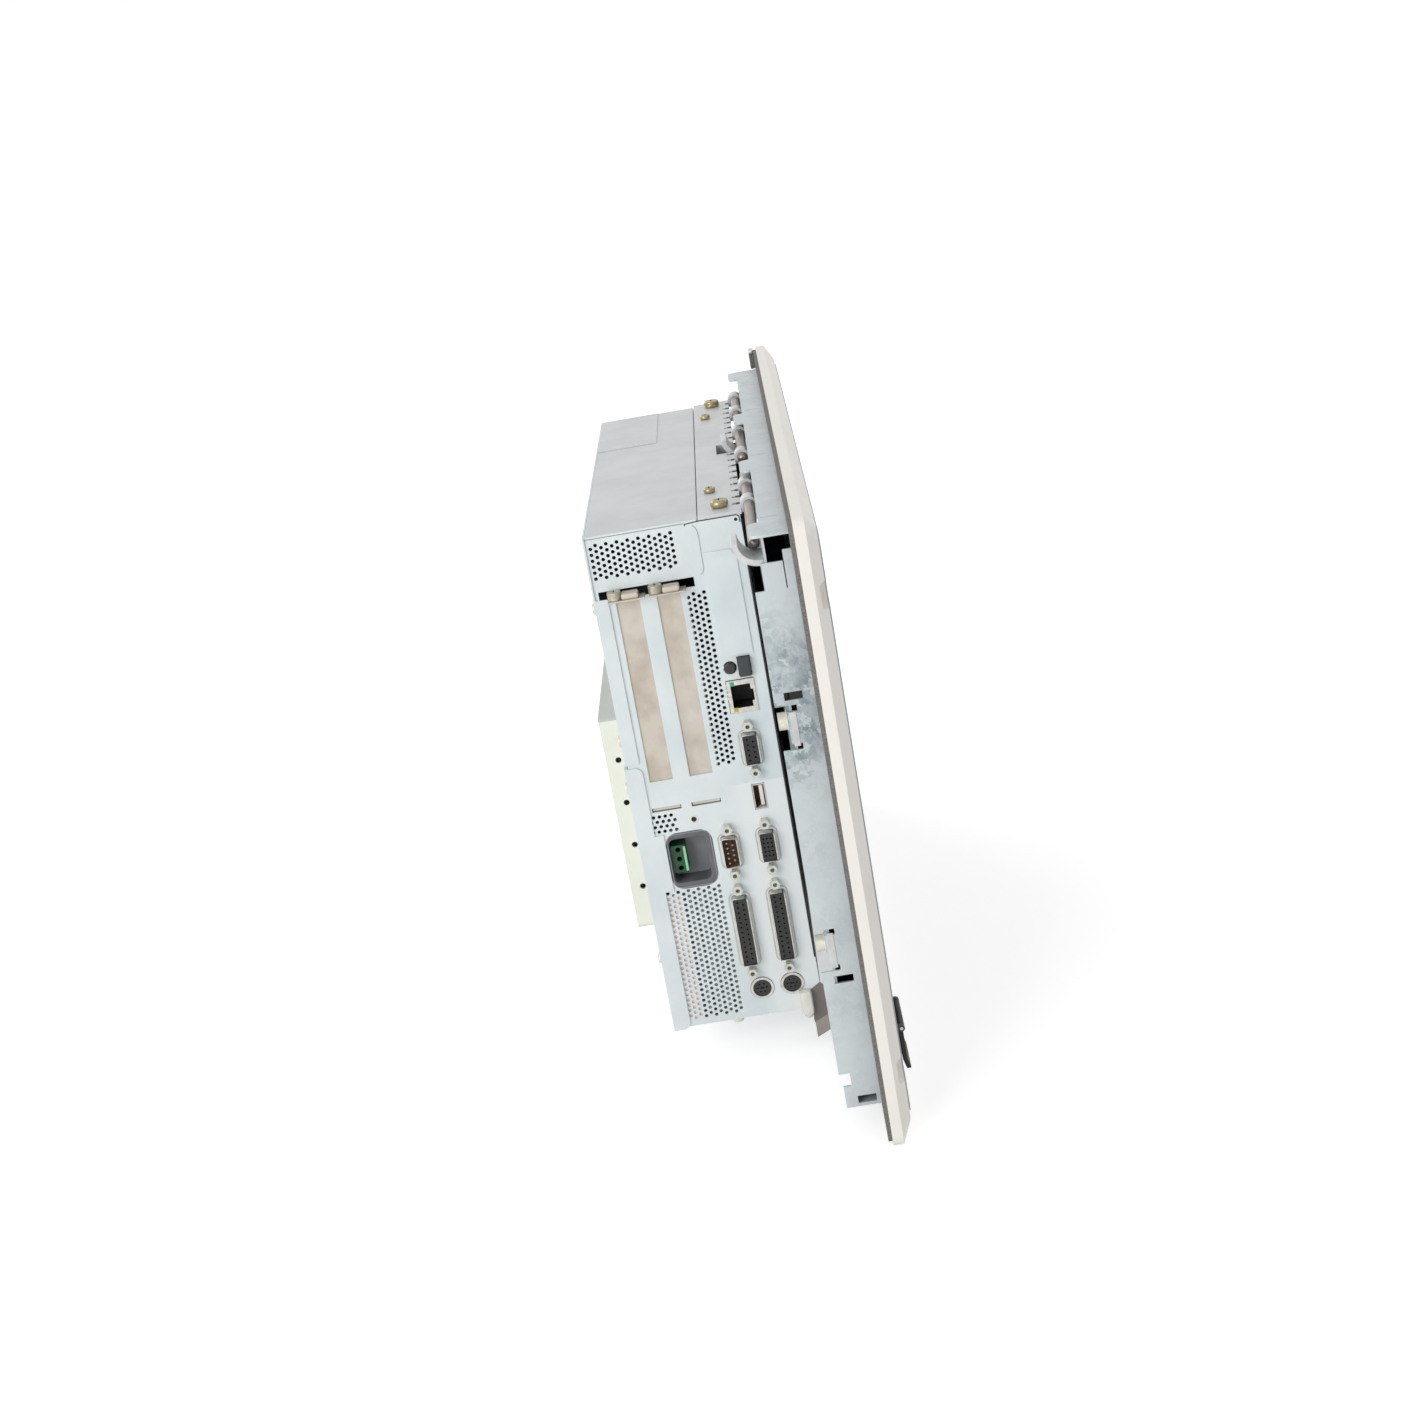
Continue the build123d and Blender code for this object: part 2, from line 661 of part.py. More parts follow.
def membrane_keypad():
    """Key foil on the panel's face, with the raised keys, open at the window and the port."""
    foil_width = PANEL_WIDTH - 2 * (BEVEL_WIDTH + FOIL_MARGIN)
    foil_height = PANEL_HEIGHT - 2 * (BEVEL_WIDTH + FOIL_MARGIN)
    outline = RectangleRounded(foil_width, foil_height, PANEL_CORNER)
    port = rect(
        around(port_x, PORT_FRAME_WIDTH + 2 * FLAP_EAR),
        around(port_z, PORT_FRAME_HEIGHT + 2 * FLAP_EAR),
        KEY_CORNER,
    )
    openings = [window_outline(GLASS_LEDGE), port]
    foil = sheet("Y", (panel_front - FOIL_THICKNESS, panel_front), outline, openings)
    spot_length = RACK_SLOT_LENGTH + 2 * SPOT_MARGIN + PORT_CLEARANCE
    spot_width = RACK_SLOT_WIDTH + 2 * SPOT_MARGIN + PORT_CLEARANCE
    for x, z in rack_places():
        spot = Pos(x, z) * SlotOverall(spot_length, spot_width)
        foil -= sheet("Y", (panel_front - CUT_OVERRUN, panel_front + CUT_OVERRUN), spot)
    key_front = panel_front - FOIL_THICKNESS - KEY_RISE
    for x, z in key_places():
        key = rect(around(x, KEY_SIZE), around(z, KEY_SIZE), KEY_CORNER)
        foil += sheet("Y", (key_front, panel_front - FOIL_THICKNESS / 2), key)
    return foil


def panel_gasket():
    """Sealing ring behind the panel, round the display frame."""
    gasket_width = PANEL_WIDTH - 2 * GASKET_INSET
    gasket_height = PANEL_HEIGHT - 2 * GASKET_INSET
    outline = RectangleRounded(gasket_width, gasket_height, PANEL_CORNER)
    openings = [frame_inside(-FRAME_CLEARANCE)]
    for x, z in rack_places():
        hole_length = RACK_SLOT_LENGTH + 2 * GASKET_SLOT_CLEARANCE
        hole = SlotOverall(hole_length, RACK_SLOT_WIDTH + 2 * GASKET_SLOT_CLEARANCE)
        openings.append(Pos(x, z) * hole)
    return sheet("Y", (panel_rear, 0), outline, openings)


def lcd_module():
    """Display module with its stepped metal rim, against the inside of the panel's wall."""
    across = around(display_x, window_width + 2 * LCD_MARGIN_X)
    up = around(display_z, window_height + 2 * LCD_MARGIN_Z)
    step = wall_inside + LCD_THICKNESS - LCD_STEP
    module = block(across, (wall_inside, step), up)
    inner_across = (across[0] + LCD_RIM, across[1] - LCD_RIM)
    inner_up = (up[0] + LCD_RIM, up[1] - LCD_RIM)
    return module + block(inner_across, (step, wall_inside + LCD_THICKNESS), inner_up)


def inverter_board():
    """Backlight supply board on its four legs, beside the display module."""
    start = display_x + window_width / 2 + LCD_MARGIN_X + LCD_RIM
    across = (start, start + INVERTER_WIDTH)
    up = around(display_z, INVERTER_HEIGHT)
    top = wall_inside + INVERTER_LEG
    board = block(across, (top, top + BOARD_THICKNESS), up)
    for x in (across[0] + LCD_RIM, across[1] - LCD_RIM):
        for z in (up[0] + LCD_RIM, up[1] - LCD_RIM):
            board += rod("Y", (wall_inside, top), x, z, STANDOFF_RADIUS)
    part_front = top + BOARD_THICKNESS
    part_x = around(mid(across), INVERTER_WIDTH / 2)
    for share in INVERTER_PART_SHARES:
        part_z = around(display_z + share * INVERTER_HEIGHT, INVERTER_WIDTH / 2)
        board += block(part_x, (part_front, part_front + INVERTER_PART), part_z)
    return board


def socket_tube(axis, span, mouth, across, up, tongue):
    """Open metal socket: a tube, closed behind, with a tongue. mouth is the end that is open."""
    inside = (across[0] + USB_WALL, across[1] - USB_WALL), (up[0] + USB_WALL, up[1] - USB_WALL)
    closed = USB_WALL + USB_TONGUE
    if mouth < mid(span):
        hollow = (span[0] - CUT_OVERRUN, span[1] - closed)
        bar = (span[0] + USB_TONGUE, span[1] - closed)
    else:
        hollow = (span[0] + closed, span[1] + CUT_OVERRUN)
        bar = (span[0] + closed, span[1] - USB_TONGUE)
    shell = sheet(axis, span, rect(across, up)) - sheet(axis, hollow, rect(*inside))
    return group([shell, sheet(axis, bar, rect(*tongue))])


def front_usb_socket():
    """Service socket behind the flap."""
    across = around(port_x, USB_LENGTH)
    up = around(port_z, USB_WIDTH)
    long = USB_LENGTH - 2 * USB_WALL - USB_TONGUE
    tongue = (around(port_x, long), around(port_z + USB_WIDTH / 6, USB_TONGUE))
    span = (panel_front, panel_front + USB_DEPTH)
    return socket_tube("Y", span, span[0], across, up, tongue)


def flap_frame():
    """Surround of the service port, with the two ears that hold the flap's pin."""
    half = FLAP_WIDTH / 2 + SIDE_AIR
    outline = rect(around(port_x, PORT_FRAME_WIDTH), around(port_z, PORT_FRAME_HEIGHT), KEY_CORNER)
    frame = sheet("Y", (port_frame_front, panel_front), outline, [port_hole_outline(USB_WALL)])
    foot_up = around(flap_axis_z, 2 * FLAP_BARREL_RADIUS)
    for low in (port_x - half - FLAP_EAR, port_x + half):
        across = (low, low + FLAP_EAR)
        ear = rod("X", across, flap_axis_y, flap_axis_z, FLAP_BARREL_RADIUS)
        frame += ear + block(across, (flap_axis_y, panel_front), foot_up)
    through = around(port_x, PORT_FRAME_WIDTH + 2 * CUT_OVERRUN)
    return frame - rod("X", through, flap_axis_y, flap_axis_z, FLAP_PIN_RADIUS)


def flap_hinge_pin():
    """Pin held in the ears of the port's surround."""
    length = FLAP_WIDTH + 2 * (SIDE_AIR + FLAP_EAR)
    return rod("X", around(port_x, length), flap_axis_y, flap_axis_z, FLAP_PIN_RADIUS)


def port_flap():
    """Flap over the service port, with its barrel and a finger lip at the bottom."""
    across = around(port_x, FLAP_WIDTH)
    low = port_z - FLAP_HEIGHT / 2
    outline = Polyline(
        (flap_rear, flap_axis_z),
        (flap_rear, low + FLAP_LIP_HEIGHT),
        (flap_rear - FLAP_LIP, low),
        (flap_front - FLAP_LIP, low),
        (flap_front, low + FLAP_LIP_HEIGHT),
        (flap_front, flap_axis_z),
        close=True,
    )
    barrel = rod("X", across, flap_axis_y, flap_axis_z, FLAP_BARREL_RADIUS)
    bore = rod("X", across, flap_axis_y, flap_axis_z, FLAP_PIN_RADIUS + RUNNING_CLEARANCE)
    return sheet("X", across, make_face(outline)) + barrel - bore


def frame_depth_at(share):
    """Y place at a share of the frame's depth behind the sealing plane."""
    return share * FRAME_DEPTH


def frame_height_at(share):
    """Z place at a share of the frame's height above its lower edge."""
    return frame_floor + share * frame_height


def frame_side(low):
    """One side wall of the frame with its notches, reliefs and slots."""
    depth = (panel_rear, FRAME_DEPTH)
    wall = sheet("X", (low, low + FRAME_SHEET), rect(depth, (frame_floor, frame_roof)))
    across = (low - CUT_OVERRUN, low + FRAME_SHEET + CUT_OVERRUN)
    for cut in SIDE_CUT_SHARES:
        y = (frame_depth_at(cut[0]), frame_depth_at(cut[1]))
        wall -= block(across, y, (frame_height_at(cut[2]), frame_height_at(cut[3])))
    for cut in SIDE_SLOT_SHARES:
        y = (frame_depth_at(cut[0]), frame_depth_at(cut[1]))
        z = frame_height_at(cut[2])
        wall -= block(across, y, (z, z + SLOT_HEIGHT))
    tab_rear = back_plate_rear + FRAME_SHEET
    for share in NOTCH_HIGH_SHARES:
        z = frame_height_at(share)
        wall -= block(across, (tab_rear, FRAME_DEPTH + CUT_OVERRUN), (z, z + NOTCH_HEIGHT))
        for relief in (z, z + NOTCH_HEIGHT - NOTCH_RELIEF):
            wall -= block(across, (NOTCH_BOTTOM, FRAME_DEPTH), (relief, relief + NOTCH_RELIEF))
    return wall


def notch_tab(side, share):
    """Tab bent inwards at a notch, drilled for its screw. side is -1 at the left and +1 at the right."""
    edge = side * frame_width / 2
    z = frame_height_at(share)
    up = (z + NOTCH_RELIEF, z + NOTCH_HEIGHT - NOTCH_RELIEF)
    across = sorted((edge, edge - side * TAB_REACH))
    tab = block(across, (back_plate_rear, back_plate_rear + FRAME_SHEET), up)
    x, z = frame_screw_place(side, share)
    hole = FRAME_SCREW_SHANK + SCREW_HOLE_CLEARANCE
    return tab - rod("Y", (0, FRAME_DEPTH), x, z, hole)


def frame_screw_place(side, share):
    """Place of a frame screw, as (x, z)."""
    x = side * (frame_width / 2 - FRAME_SHEET - FRAME_WASHER_RADIUS - SCREW_HOLE_CLEARANCE)
    return x, frame_height_at(share) + NOTCH_HEIGHT / 2 + FRAME_SCREW_RISE / 2


def ear_places():
    """Middles of the ears along the frame's upper edge."""
    return [side * share * frame_width for share in EAR_PLACES_SHARES for side in (-1, 1)]


def display_frame():
    """Folded ring behind the panel, with its ears, tabs and reliefs."""
    inside = FRAME_SHEET + FRAME_FLANGE
    flange = (panel_rear, panel_rear + FRAME_SHEET)
    ring = sheet("Y", flange, frame_inside(0), [frame_inside(inside)])
    wide = (frame_left, frame_right)
    for low in (frame_floor, frame_roof - FRAME_SHEET):
        ring += block(wide, (panel_rear, back_plate_rear), (low, low + FRAME_SHEET))
    for low in (frame_left, frame_right - FRAME_SHEET):
        ring += frame_side(low)
    top = (frame_roof - FRAME_SHEET, frame_roof)
    for x in ear_places():
        across = around(x, EAR_WIDTH)
        depth = (back_plate_rear - EAR_CORNER, back_plate_rear + EAR_LENGTH)
        ring += sheet("Z", top, rect(across, depth, EAR_CORNER))
        slit = (across[1] + EAR_SLIT_GAP, across[1] + EAR_SLIT_GAP + EAR_SLIT_WIDTH)
        if slit[1] < frame_right - FRAME_SHEET:
            start = back_plate_rear - FRAME_SHEET
            through = (top[0] - CUT_OVERRUN, top[1] + CUT_OVERRUN)
            ring -= block(slit, (start - EAR_SLIT_LENGTH, start), through)
    for side in (-1, 1):
        for share in NOTCH_HIGH_SHARES:
            ring += notch_tab(side, share)
    return ring


def display_back_plate():
    """Plate that closes the frame from behind, with windows for the hinge lugs."""
    outline = frame_inside(FRAME_SHEET)
    openings = []
    half = ROD_RADIUS + LUG_WALL + LUG_WINDOW_MARGIN
    for x in lug_places():
        openings.append(rect(around(x, LUG_WIDTH + 2 * LUG_WINDOW_MARGIN), around(rod_z, 2 * half)))
    hole = FRAME_SCREW_SHANK + SCREW_HOLE_CLEARANCE
    for side in (-1, 1):
        for share in NOTCH_HIGH_SHARES:
            openings.append(disc(*frame_screw_place(side, share), hole))
    return sheet("Y", (BACK_PLATE_PLACE, back_plate_rear), outline, openings)


def frame_screws():
    """Screws with washers on the tabs of the side notches."""
    seat = back_plate_rear + FRAME_SHEET
    screws = []
    for side in (-1, 1):
        for share in NOTCH_HIGH_SHARES:
            x, z = frame_screw_place(side, share)
            washer = rod("Y", (seat, seat + FRAME_WASHER), x, z, FRAME_WASHER_RADIUS)
            shank = rod("Y", (BACK_PLATE_PLACE - FRAME_WASHER_RADIUS, seat), x, z, FRAME_SCREW_SHANK)
            top = seat + FRAME_WASHER
            head = cross_head("Y", top, 1, x, z, FRAME_SCREW_RADIUS, FRAME_SCREW_HEAD)
            screws.append(washer + head + shank)
    return group(screws)


def lug_places():
    """Middles of the hinge lugs along X."""
    return [unit_left + share * UNIT_WIDTH for share in LUG_PLACE_SHARES]


def hook_places():
    """Middles of the hinge hooks along X: at the frame's left end and near its middle."""
    end = frame_left + FRAME_SHEET + SIDE_AIR + HOOK_WIDTH / 2
    return [end, unit_left + HOOK_MIDDLE_SHARE * UNIT_WIDTH]


def hinge_hooks():
    """Open troughs on the frame that carry the hinge rods."""
    hooks = []
    outer = hook_radius + HOOK_WALL
    for x in hook_places():
        across = around(x, HOOK_WIDTH)
        ring = sheet("X", across, disc(hook_y, hook_z, outer), [disc(hook_y, hook_z, hook_radius)])
        quarter = block(across, (hook_y, hook_y + outer), (hook_z - outer, hook_z))
        foot_top = hook_z - hook_radius
        foot = block(across, (back_plate_rear, hook_y), (hook_z - outer - HOOK_FOOT, foot_top))
        hooks.append((ring & quarter) + foot)
    return group(hooks)


def hinge_rods():
    """Rods along the unit's upper front edge, with domed left ends. The first reaches into a hook."""
    starts = [hook_places()[0] + HOOK_WIDTH / 2 - ROD_IN_HOOK]
    starts += [unit_left + share * UNIT_WIDTH for share in ROD_START_SHARES]
    rods = []
    for start, end_share in zip(starts, ROD_END_SHARES):
        end = unit_left + end_share * UNIT_WIDTH
        bar = rod("X", (start + ROD_RADIUS, end), rod_y, rod_z, ROD_RADIUS)
        rods.append(bar + Pos(start + ROD_RADIUS, rod_y, rod_z) * Sphere(ROD_RADIUS))
    return group(rods)


def hook_cut_spans():
    """X spans of the cut-outs that clear each hook in the unit's width."""
    spans = [around(x, HOOK_WIDTH + 2 * BRACKET_CUT_MARGIN) for x in hook_places()]
    return [span for span in spans if span[0] < unit_right and span[1] > unit_left]


def hinge_bracket():
    """Plate on the unit's upper front edge, with the lugs that hold the rods."""
    plate_front = unit_front - SHEET
    up = (inner_roof, inner_roof + BRACKET_SHEET)
    depth = (plate_front, plate_front + BRACKET_DEPTH + SHEET)
    plate = block((unit_left, unit_right), depth, up)
    reach = hook_radius + HOOK_WALL + HOOK_OFFSET_Y + BRACKET_CUT_MARGIN
    through = (up[0] - CUT_OVERRUN, up[1] + CUT_OVERRUN)
    for cut in hook_cut_spans():
        plate -= block(cut, (plate_front - CUT_OVERRUN, hook_y + reach), through)
    slot_y = (depth[0] + BRACKET_SLOT_WIDTH, depth[0] + 2 * BRACKET_SLOT_WIDTH)
    for number in range(1, int(UNIT_WIDTH / BRACKET_SLOT_PITCH)):
        x = unit_left + number * BRACKET_SLOT_PITCH
        away = [abs(x - mid(cut)) - width(cut) / 2 for cut in hook_cut_spans()]
        if min(away, default=UNIT_WIDTH) > BRACKET_SLOT_LENGTH:
            plate -= block(around(x, BRACKET_SLOT_LENGTH), slot_y, through)
    for x in lug_places():
        across = around(x, LUG_WIDTH)
        plate += rod("X", across, rod_y, rod_z, ROD_RADIUS + LUG_WALL)
        plate += block(across, (rod_y, depth[0] + SHEET), up)
    for x in lug_places():
        across = around(x, LUG_WIDTH + 2 * SHEET)
        plate -= rod("X", across, rod_y, rod_z, ROD_RADIUS + RUNNING_CLEARANCE)
    for x, y, radius in top_screw_places():
        plate -= rod("Z", through, x, y, radius / 2 + SCREW_HOLE_CLEARANCE)
    return plate


def top_screw_places():
    """Screws on the hinge bracket, as (x, y, head radius)."""
    y = mid((unit_front, unit_front + BRACKET_DEPTH)) - SHEET
    back = y + BIG_SCREW_RADIUS
    places = [(x, y, BIG_SCREW_RADIUS) for x in (unit_left + TOP_SCREW_EDGE, unit_right - TOP_SCREW_EDGE)]
    for x in (unit_left + TOP_SCREW_INSET, unit_right - TOP_SCREW_INSET):
        places.append((x, back, SMALL_SCREW_RADIUS))
    return places


def vent_field(back, low, counts, high_first, pitches):
    """Staggered round vents in (Y, Z): counts and pitches are those of columns and of rows."""
    vents = []
    for column in range(counts[0]):
        raised = (column % 2 == 0) == high_first
        start = low + (pitches[1] / 2 if raised else 0)
        for row in range(counts[1]):
            vents.append(disc(back - column * pitches[0], start + row * pitches[1], VENT_RADIUS))
    return vents


def port_vents():
    """All vents of the port side plate."""
    vents = []
    for back, low, columns, rows, high_first in PORT_VENT_SHARES:
        start_y = unit_rear - back * UNIT_DEPTH
        start_z = unit_floor + low * UNIT_HEIGHT
        pitches = (VENT_COLUMN_PITCH, VENT_ROW_PITCH)
        vents += vent_field(start_y, start_z, (columns, rows), high_first, pitches)
    start_y = unit_rear - CORNER_VENT_SHARES[0] * UNIT_DEPTH
    start_z = unit_floor + CORNER_VENT_SHARES[1] * UNIT_HEIGHT
    counts = (CORNER_VENT_COLUMNS, CORNER_VENT_ROWS)
    pitches = (CORNER_VENT_COLUMN_PITCH, CORNER_VENT_ROW_PITCH)
    return vents + vent_field(start_y, start_z, counts, False, pitches)


def d_shape(y, z, length, narrow, margin=0):
    """Rounded D outline of a connector shell, in (Y, Z), with its long side to the rear."""
    half = length / 2 + margin
    side = narrow / 2 + margin
    outline = Polyline(
        (y + side, z - half),
        (y + side, z + half),
        (y - side, z + half - D_SHELL_SLANT),
        (y - side, z - half + D_SHELL_SLANT),
        close=True,
    )
    face = make_face(outline)
    return fillet(face.vertices(), max(D_SHELL_CORNER + margin, D_SHELL_WALL))


def d_connectors():
    """D-shaped connectors by node: column, height, flange length, shell length, screw spacing."""
    return {
        "dsub25_socket_1": (rear_column_y, d25_z, D25_LENGTH, D25_SHELL, D25_SCREWS),
        "dsub25_socket_2": (front_column_y, d25_z, D25_LENGTH, D25_SHELL, D25_SCREWS),
        "dsub9_plug": (rear_column_y, d9_z, D9_LENGTH, D9_SHELL, D9_SCREWS),
        "video_socket": (front_column_y, d9_z, D9_LENGTH, D9_SHELL, D9_SCREWS),
        "dsub9_socket": (front_column_y, d9_socket_z, D9_LENGTH, D9_SHELL, D9_SCREWS),
    }


def contact_rows(counts, row_pitch, pin_pitch):
    """Contact places about a connector's middle, as (y, z): the first row is the rear one."""
    places = []
    for row, count in enumerate(counts):
        y = ((len(counts) - 1) / 2 - row) * row_pitch
        places += [(y, (number - (count - 1) / 2) * pin_pitch) for number in range(count)]
    return places


def connector_contacts(node):
    """Contact places of a D-shaped connector."""
    if node.startswith("dsub25"):
        return contact_rows((13, 12), D_ROW_PITCH, D_PIN_PITCH)
    if node == "video_socket":
        return contact_rows((5, 5, 5), VIDEO_ROW_PITCH, VIDEO_PIN_PITCH)
    return contact_rows((5, 4), D_ROW_PITCH, D_PIN_PITCH)


def d_connector(node):
    """Connector behind the side plate: metal flange and shell, and the insert with its contacts."""
    y, z, length, shell, screws = d_connectors()[node]
    flange_inside = inner_left + D_FLANGE
    front = unit_left - D_SHELL_PROUD
    hole = JACK_SHANK + SCREW_HOLE_CLEARANCE
    inner_shape = d_shape(y, z, shell, D_SHELL_WIDTH, -D_SHELL_WALL)
    screw_holes = [disc(y, z + side * screws / 2, hole) for side in (-1, 1)]
    flange_shape = rect(around(y, D_FLANGE_WIDTH), around(z, length), D_SHELL_CORNER)
    metal = sheet("X", (inner_left, flange_inside), flange_shape, [inner_shape] + screw_holes)
    metal += sheet("X", (front, inner_left), d_shape(y, z, shell, D_SHELL_WIDTH), [inner_shape])
    body = (flange_inside, flange_inside + D_BODY_DEPTH)
    pins = connector_contacts(node)
    insert = sheet("X", body, rect(around(y, D_SHELL_WIDTH), around(z, shell)))
    holes = [disc(y + pin_y, z + pin_z, CONTACT_RADIUS) for pin_y, pin_z in pins]
    if node == "dsub9_plug":
        insert += sheet("X", (unit_left, flange_inside), inner_shape)
        for pin_y, pin_z in pins:
            insert += rod("X", (front + D_SHELL_WALL, unit_left), y + pin_y, z + pin_z, CONTACT_RADIUS)
    else:
        raised = front + D_SHELL_WALL
        insert += sheet("X", (unit_left, flange_inside), inner_shape)
        insert += sheet("X", (raised, unit_left), inner_shape, holes)
    return group([metal, insert])


def jack_screws():
    """Hexagonal jack screws at both ends of each D-shaped connector."""
    screws = []
    for y, z, length, shell, spacing in d_connectors().values():
        for side in (-1, 1):
            at = z + side * spacing / 2
            hexagon = RegularPolygon(JACK_ACROSS / 2, 6, major_radius=False)
            head = sheet("X", (unit_left - JACK_PROUD, unit_left), Pos(y, at) * hexagon)
            head -= rod("X", (unit_left - JACK_PROUD - CUT_OVERRUN, unit_left - SHEET), y, at, JACK_BORE)
            screws.append(head + rod("X", (unit_left, unit_left + JACK_SHANK_LENGTH), y, at, JACK_SHANK))
    return group(screws)


def din_socket(y):
    """Round socket: metal collar with a flange body, and the round insert."""
    front = unit_left - DIN_PROUD
    body_end = inner_left + DIN_BODY_DEPTH
    hole = disc(y, din_z, DIN_INSERT_RADIUS)
    collar = sheet("X", (front, inner_left), disc(y, din_z, DIN_RADIUS), [hole])
    body = sheet("X", (inner_left, body_end), rect(around(y, DIN_BODY), around(din_z, DIN_BODY)))
    pins = []
    reach = DIN_INSERT_RADIUS / 2
    for number in range(DIN_PINS):
        turn = math.radians(360 * (number + 0.5) / DIN_PINS)
        pins.append(disc(y + reach * math.sin(turn), din_z + reach * math.cos(turn), CONTACT_RADIUS))
    key = rect(around(y, DIN_KEY_LENGTH), around(din_z, DIN_KEY_WIDTH))
    insert = sheet("X", (unit_left, inner_left), hole, pins + [key])
    return group([collar + body, insert])


def usb_socket():
    """Upright socket in the front column."""
    across = around(front_column_y, USB_WIDTH)
    up = around(usb_z, USB_LENGTH)
    long = USB_LENGTH - 2 * USB_WALL - USB_TONGUE
    tongue = (around(front_column_y - USB_WIDTH / 6, USB_TONGUE), around(usb_z, long))
    span = (unit_left - USB_WALL, unit_left + USB_DEPTH)
    socket = socket_tube("X", span, span[0], across, up, tongue)
    foot = block((inner_left, span[1]), (board_rear, across[0]), up)
    return group([socket, foot])


def ethernet_jack():
    """Shielded network socket with its two lamps."""
    across = around(front_column_y, LAN_WIDTH)
    up = around(lan_z, LAN_LENGTH)
    front = unit_left - LAN_PROUD
    body = block((front, unit_left + LAN_DEPTH), across, up)
    wall = (LAN_WIDTH - LAN_MOUTH_WIDTH) / 2
    mouth_y = (across[0] + wall, across[1] - USB_TONGUE)
    deep = (front - CUT_OVERRUN, front + LAN_MOUTH_DEPTH)
    body -= block(deep, mouth_y, around(lan_z, LAN_MOUTH_LENGTH))
    body -= block(deep, (mouth_y[0] - LAN_KEY_WIDTH / 2, mouth_y[0]), around(lan_z, LAN_KEY_LENGTH))
    lamps = []
    for z in (up[0] + LAN_LAMP, up[1] - LAN_LAMP):
        lamp_y = (mouth_y[1] - LAN_LAMP, mouth_y[1])
        lamp = block((front, front + LAN_LAMP), lamp_y, around(z, LAN_LAMP))
        body -= lamp
        lamps.append(lamp)
    foot = block((inner_left, unit_left + LAN_DEPTH), (board_rear, across[0]), up)
    return group([body + foot] + lamps)


def port_windows():
    """Through openings of the port side plate for connectors, buttons, slots and screws."""
    shapes = []
    for y, z, length, shell, spacing in d_connectors().values():
        shapes.append(d_shape(y, z, shell, D_SHELL_WIDTH, PORT_CLEARANCE))
        hole = JACK_SHANK + SCREW_HOLE_CLEARANCE
        shapes += [disc(y, z + side * spacing / 2, hole) for side in (-1, 1)]
    for y in (front_column_y, rear_din_y):
        shapes.append(disc(y, din_z, DIN_RADIUS + PORT_CLEARANCE))
    clear = 2 * PORT_CLEARANCE
    shapes.append(rect(around(front_column_y, USB_WIDTH + clear), around(usb_z, USB_LENGTH + clear)))
    shapes.append(rect(around(front_column_y, LAN_WIDTH + clear), around(lan_z, LAN_LENGTH + clear)))
    shapes.append(disc(unit_rear - RESET_BACK, button_z, RESET_RADIUS + PORT_CLEARANCE))
    eject_y = eject_centre_y()
    shapes.append(rect(around(eject_y, EJECT_WIDTH), around(button_z, EJECT_HEIGHT)))
    for y in slot_columns:
        shapes.append(rect(around(y, SLOT_WINDOW_WIDTH), (slot_window_low, slot_window_high - BLANK_SHEET)))
    ledge_y = unit_rear - LEDGE_OPENING_BACK
    shapes.append(rect((ledge_y - LEDGE_OPENING_LENGTH, ledge_y), ledge_opening_span()))
    for y in slot_columns:
        slit = tail_slit_span()
        shapes.append(rect(around(y, TAIL_SLIT_WIDTH), slit))
    shapes.append(rect(around(recess_y, RECESS_WIDTH), around(recess_z, RECESS_HEIGHT), RECESS_CORNER))
    shapes.append(rect(card_mouth_span(), (cover_low + COVER_LIP, cover_high - COVER_LIP)))
    return shapes


def ledge_opening_span():
    """Z span of the slit through which the tabs of the slot blanks reach out."""
    return (slot_window_high, slot_window_high + LEDGE_OPENING_HEIGHT)


def tail_slit_span():
    """Z span of the slits that hold the tails of the slot blanks."""
    low = slot_window_low - BLANK_DROP
    return (low - TAIL_SLIT_HEIGHT, low)


def card_mouth_span():
    """Y span of the card slot behind its cover."""
    return (cover_front + COVER_LIP, cover_front + COVER_WIDTH - COVER_LIP)


def eject_centre_y():
    """Middle of the card eject button across the side plate."""
    return cover_front + EJECT_WIDTH / 2 + BUTTON_GAP * 2


def port_side_plate():
    """Side plate with the connectors, vents, slots and its folded upper hem."""
    depth = (unit_front, cover_plane)
    outline = rect(depth, (unit_floor, unit_roof))
    plate = sheet("X", (unit_left, inner_left), outline, port_vents() + port_windows())
    cut_back = unit_front + BRACKET_DEPTH + SHEET
    plate -= block(
        (unit_left - CUT_OVERRUN, inner_left + CUT_OVERRUN),
        (unit_front - CUT_OVERRUN, cut_back),
        (inner_roof, unit_roof + CUT_OVERRUN),
    )
    hem = block(
        (inner_left, inner_left + HEM_WIDTH),
        (unit_front + SHEET, unit_front + HEM_LENGTH),
        (inner_roof - SHEET, inner_roof),
    )
    return plate + hem


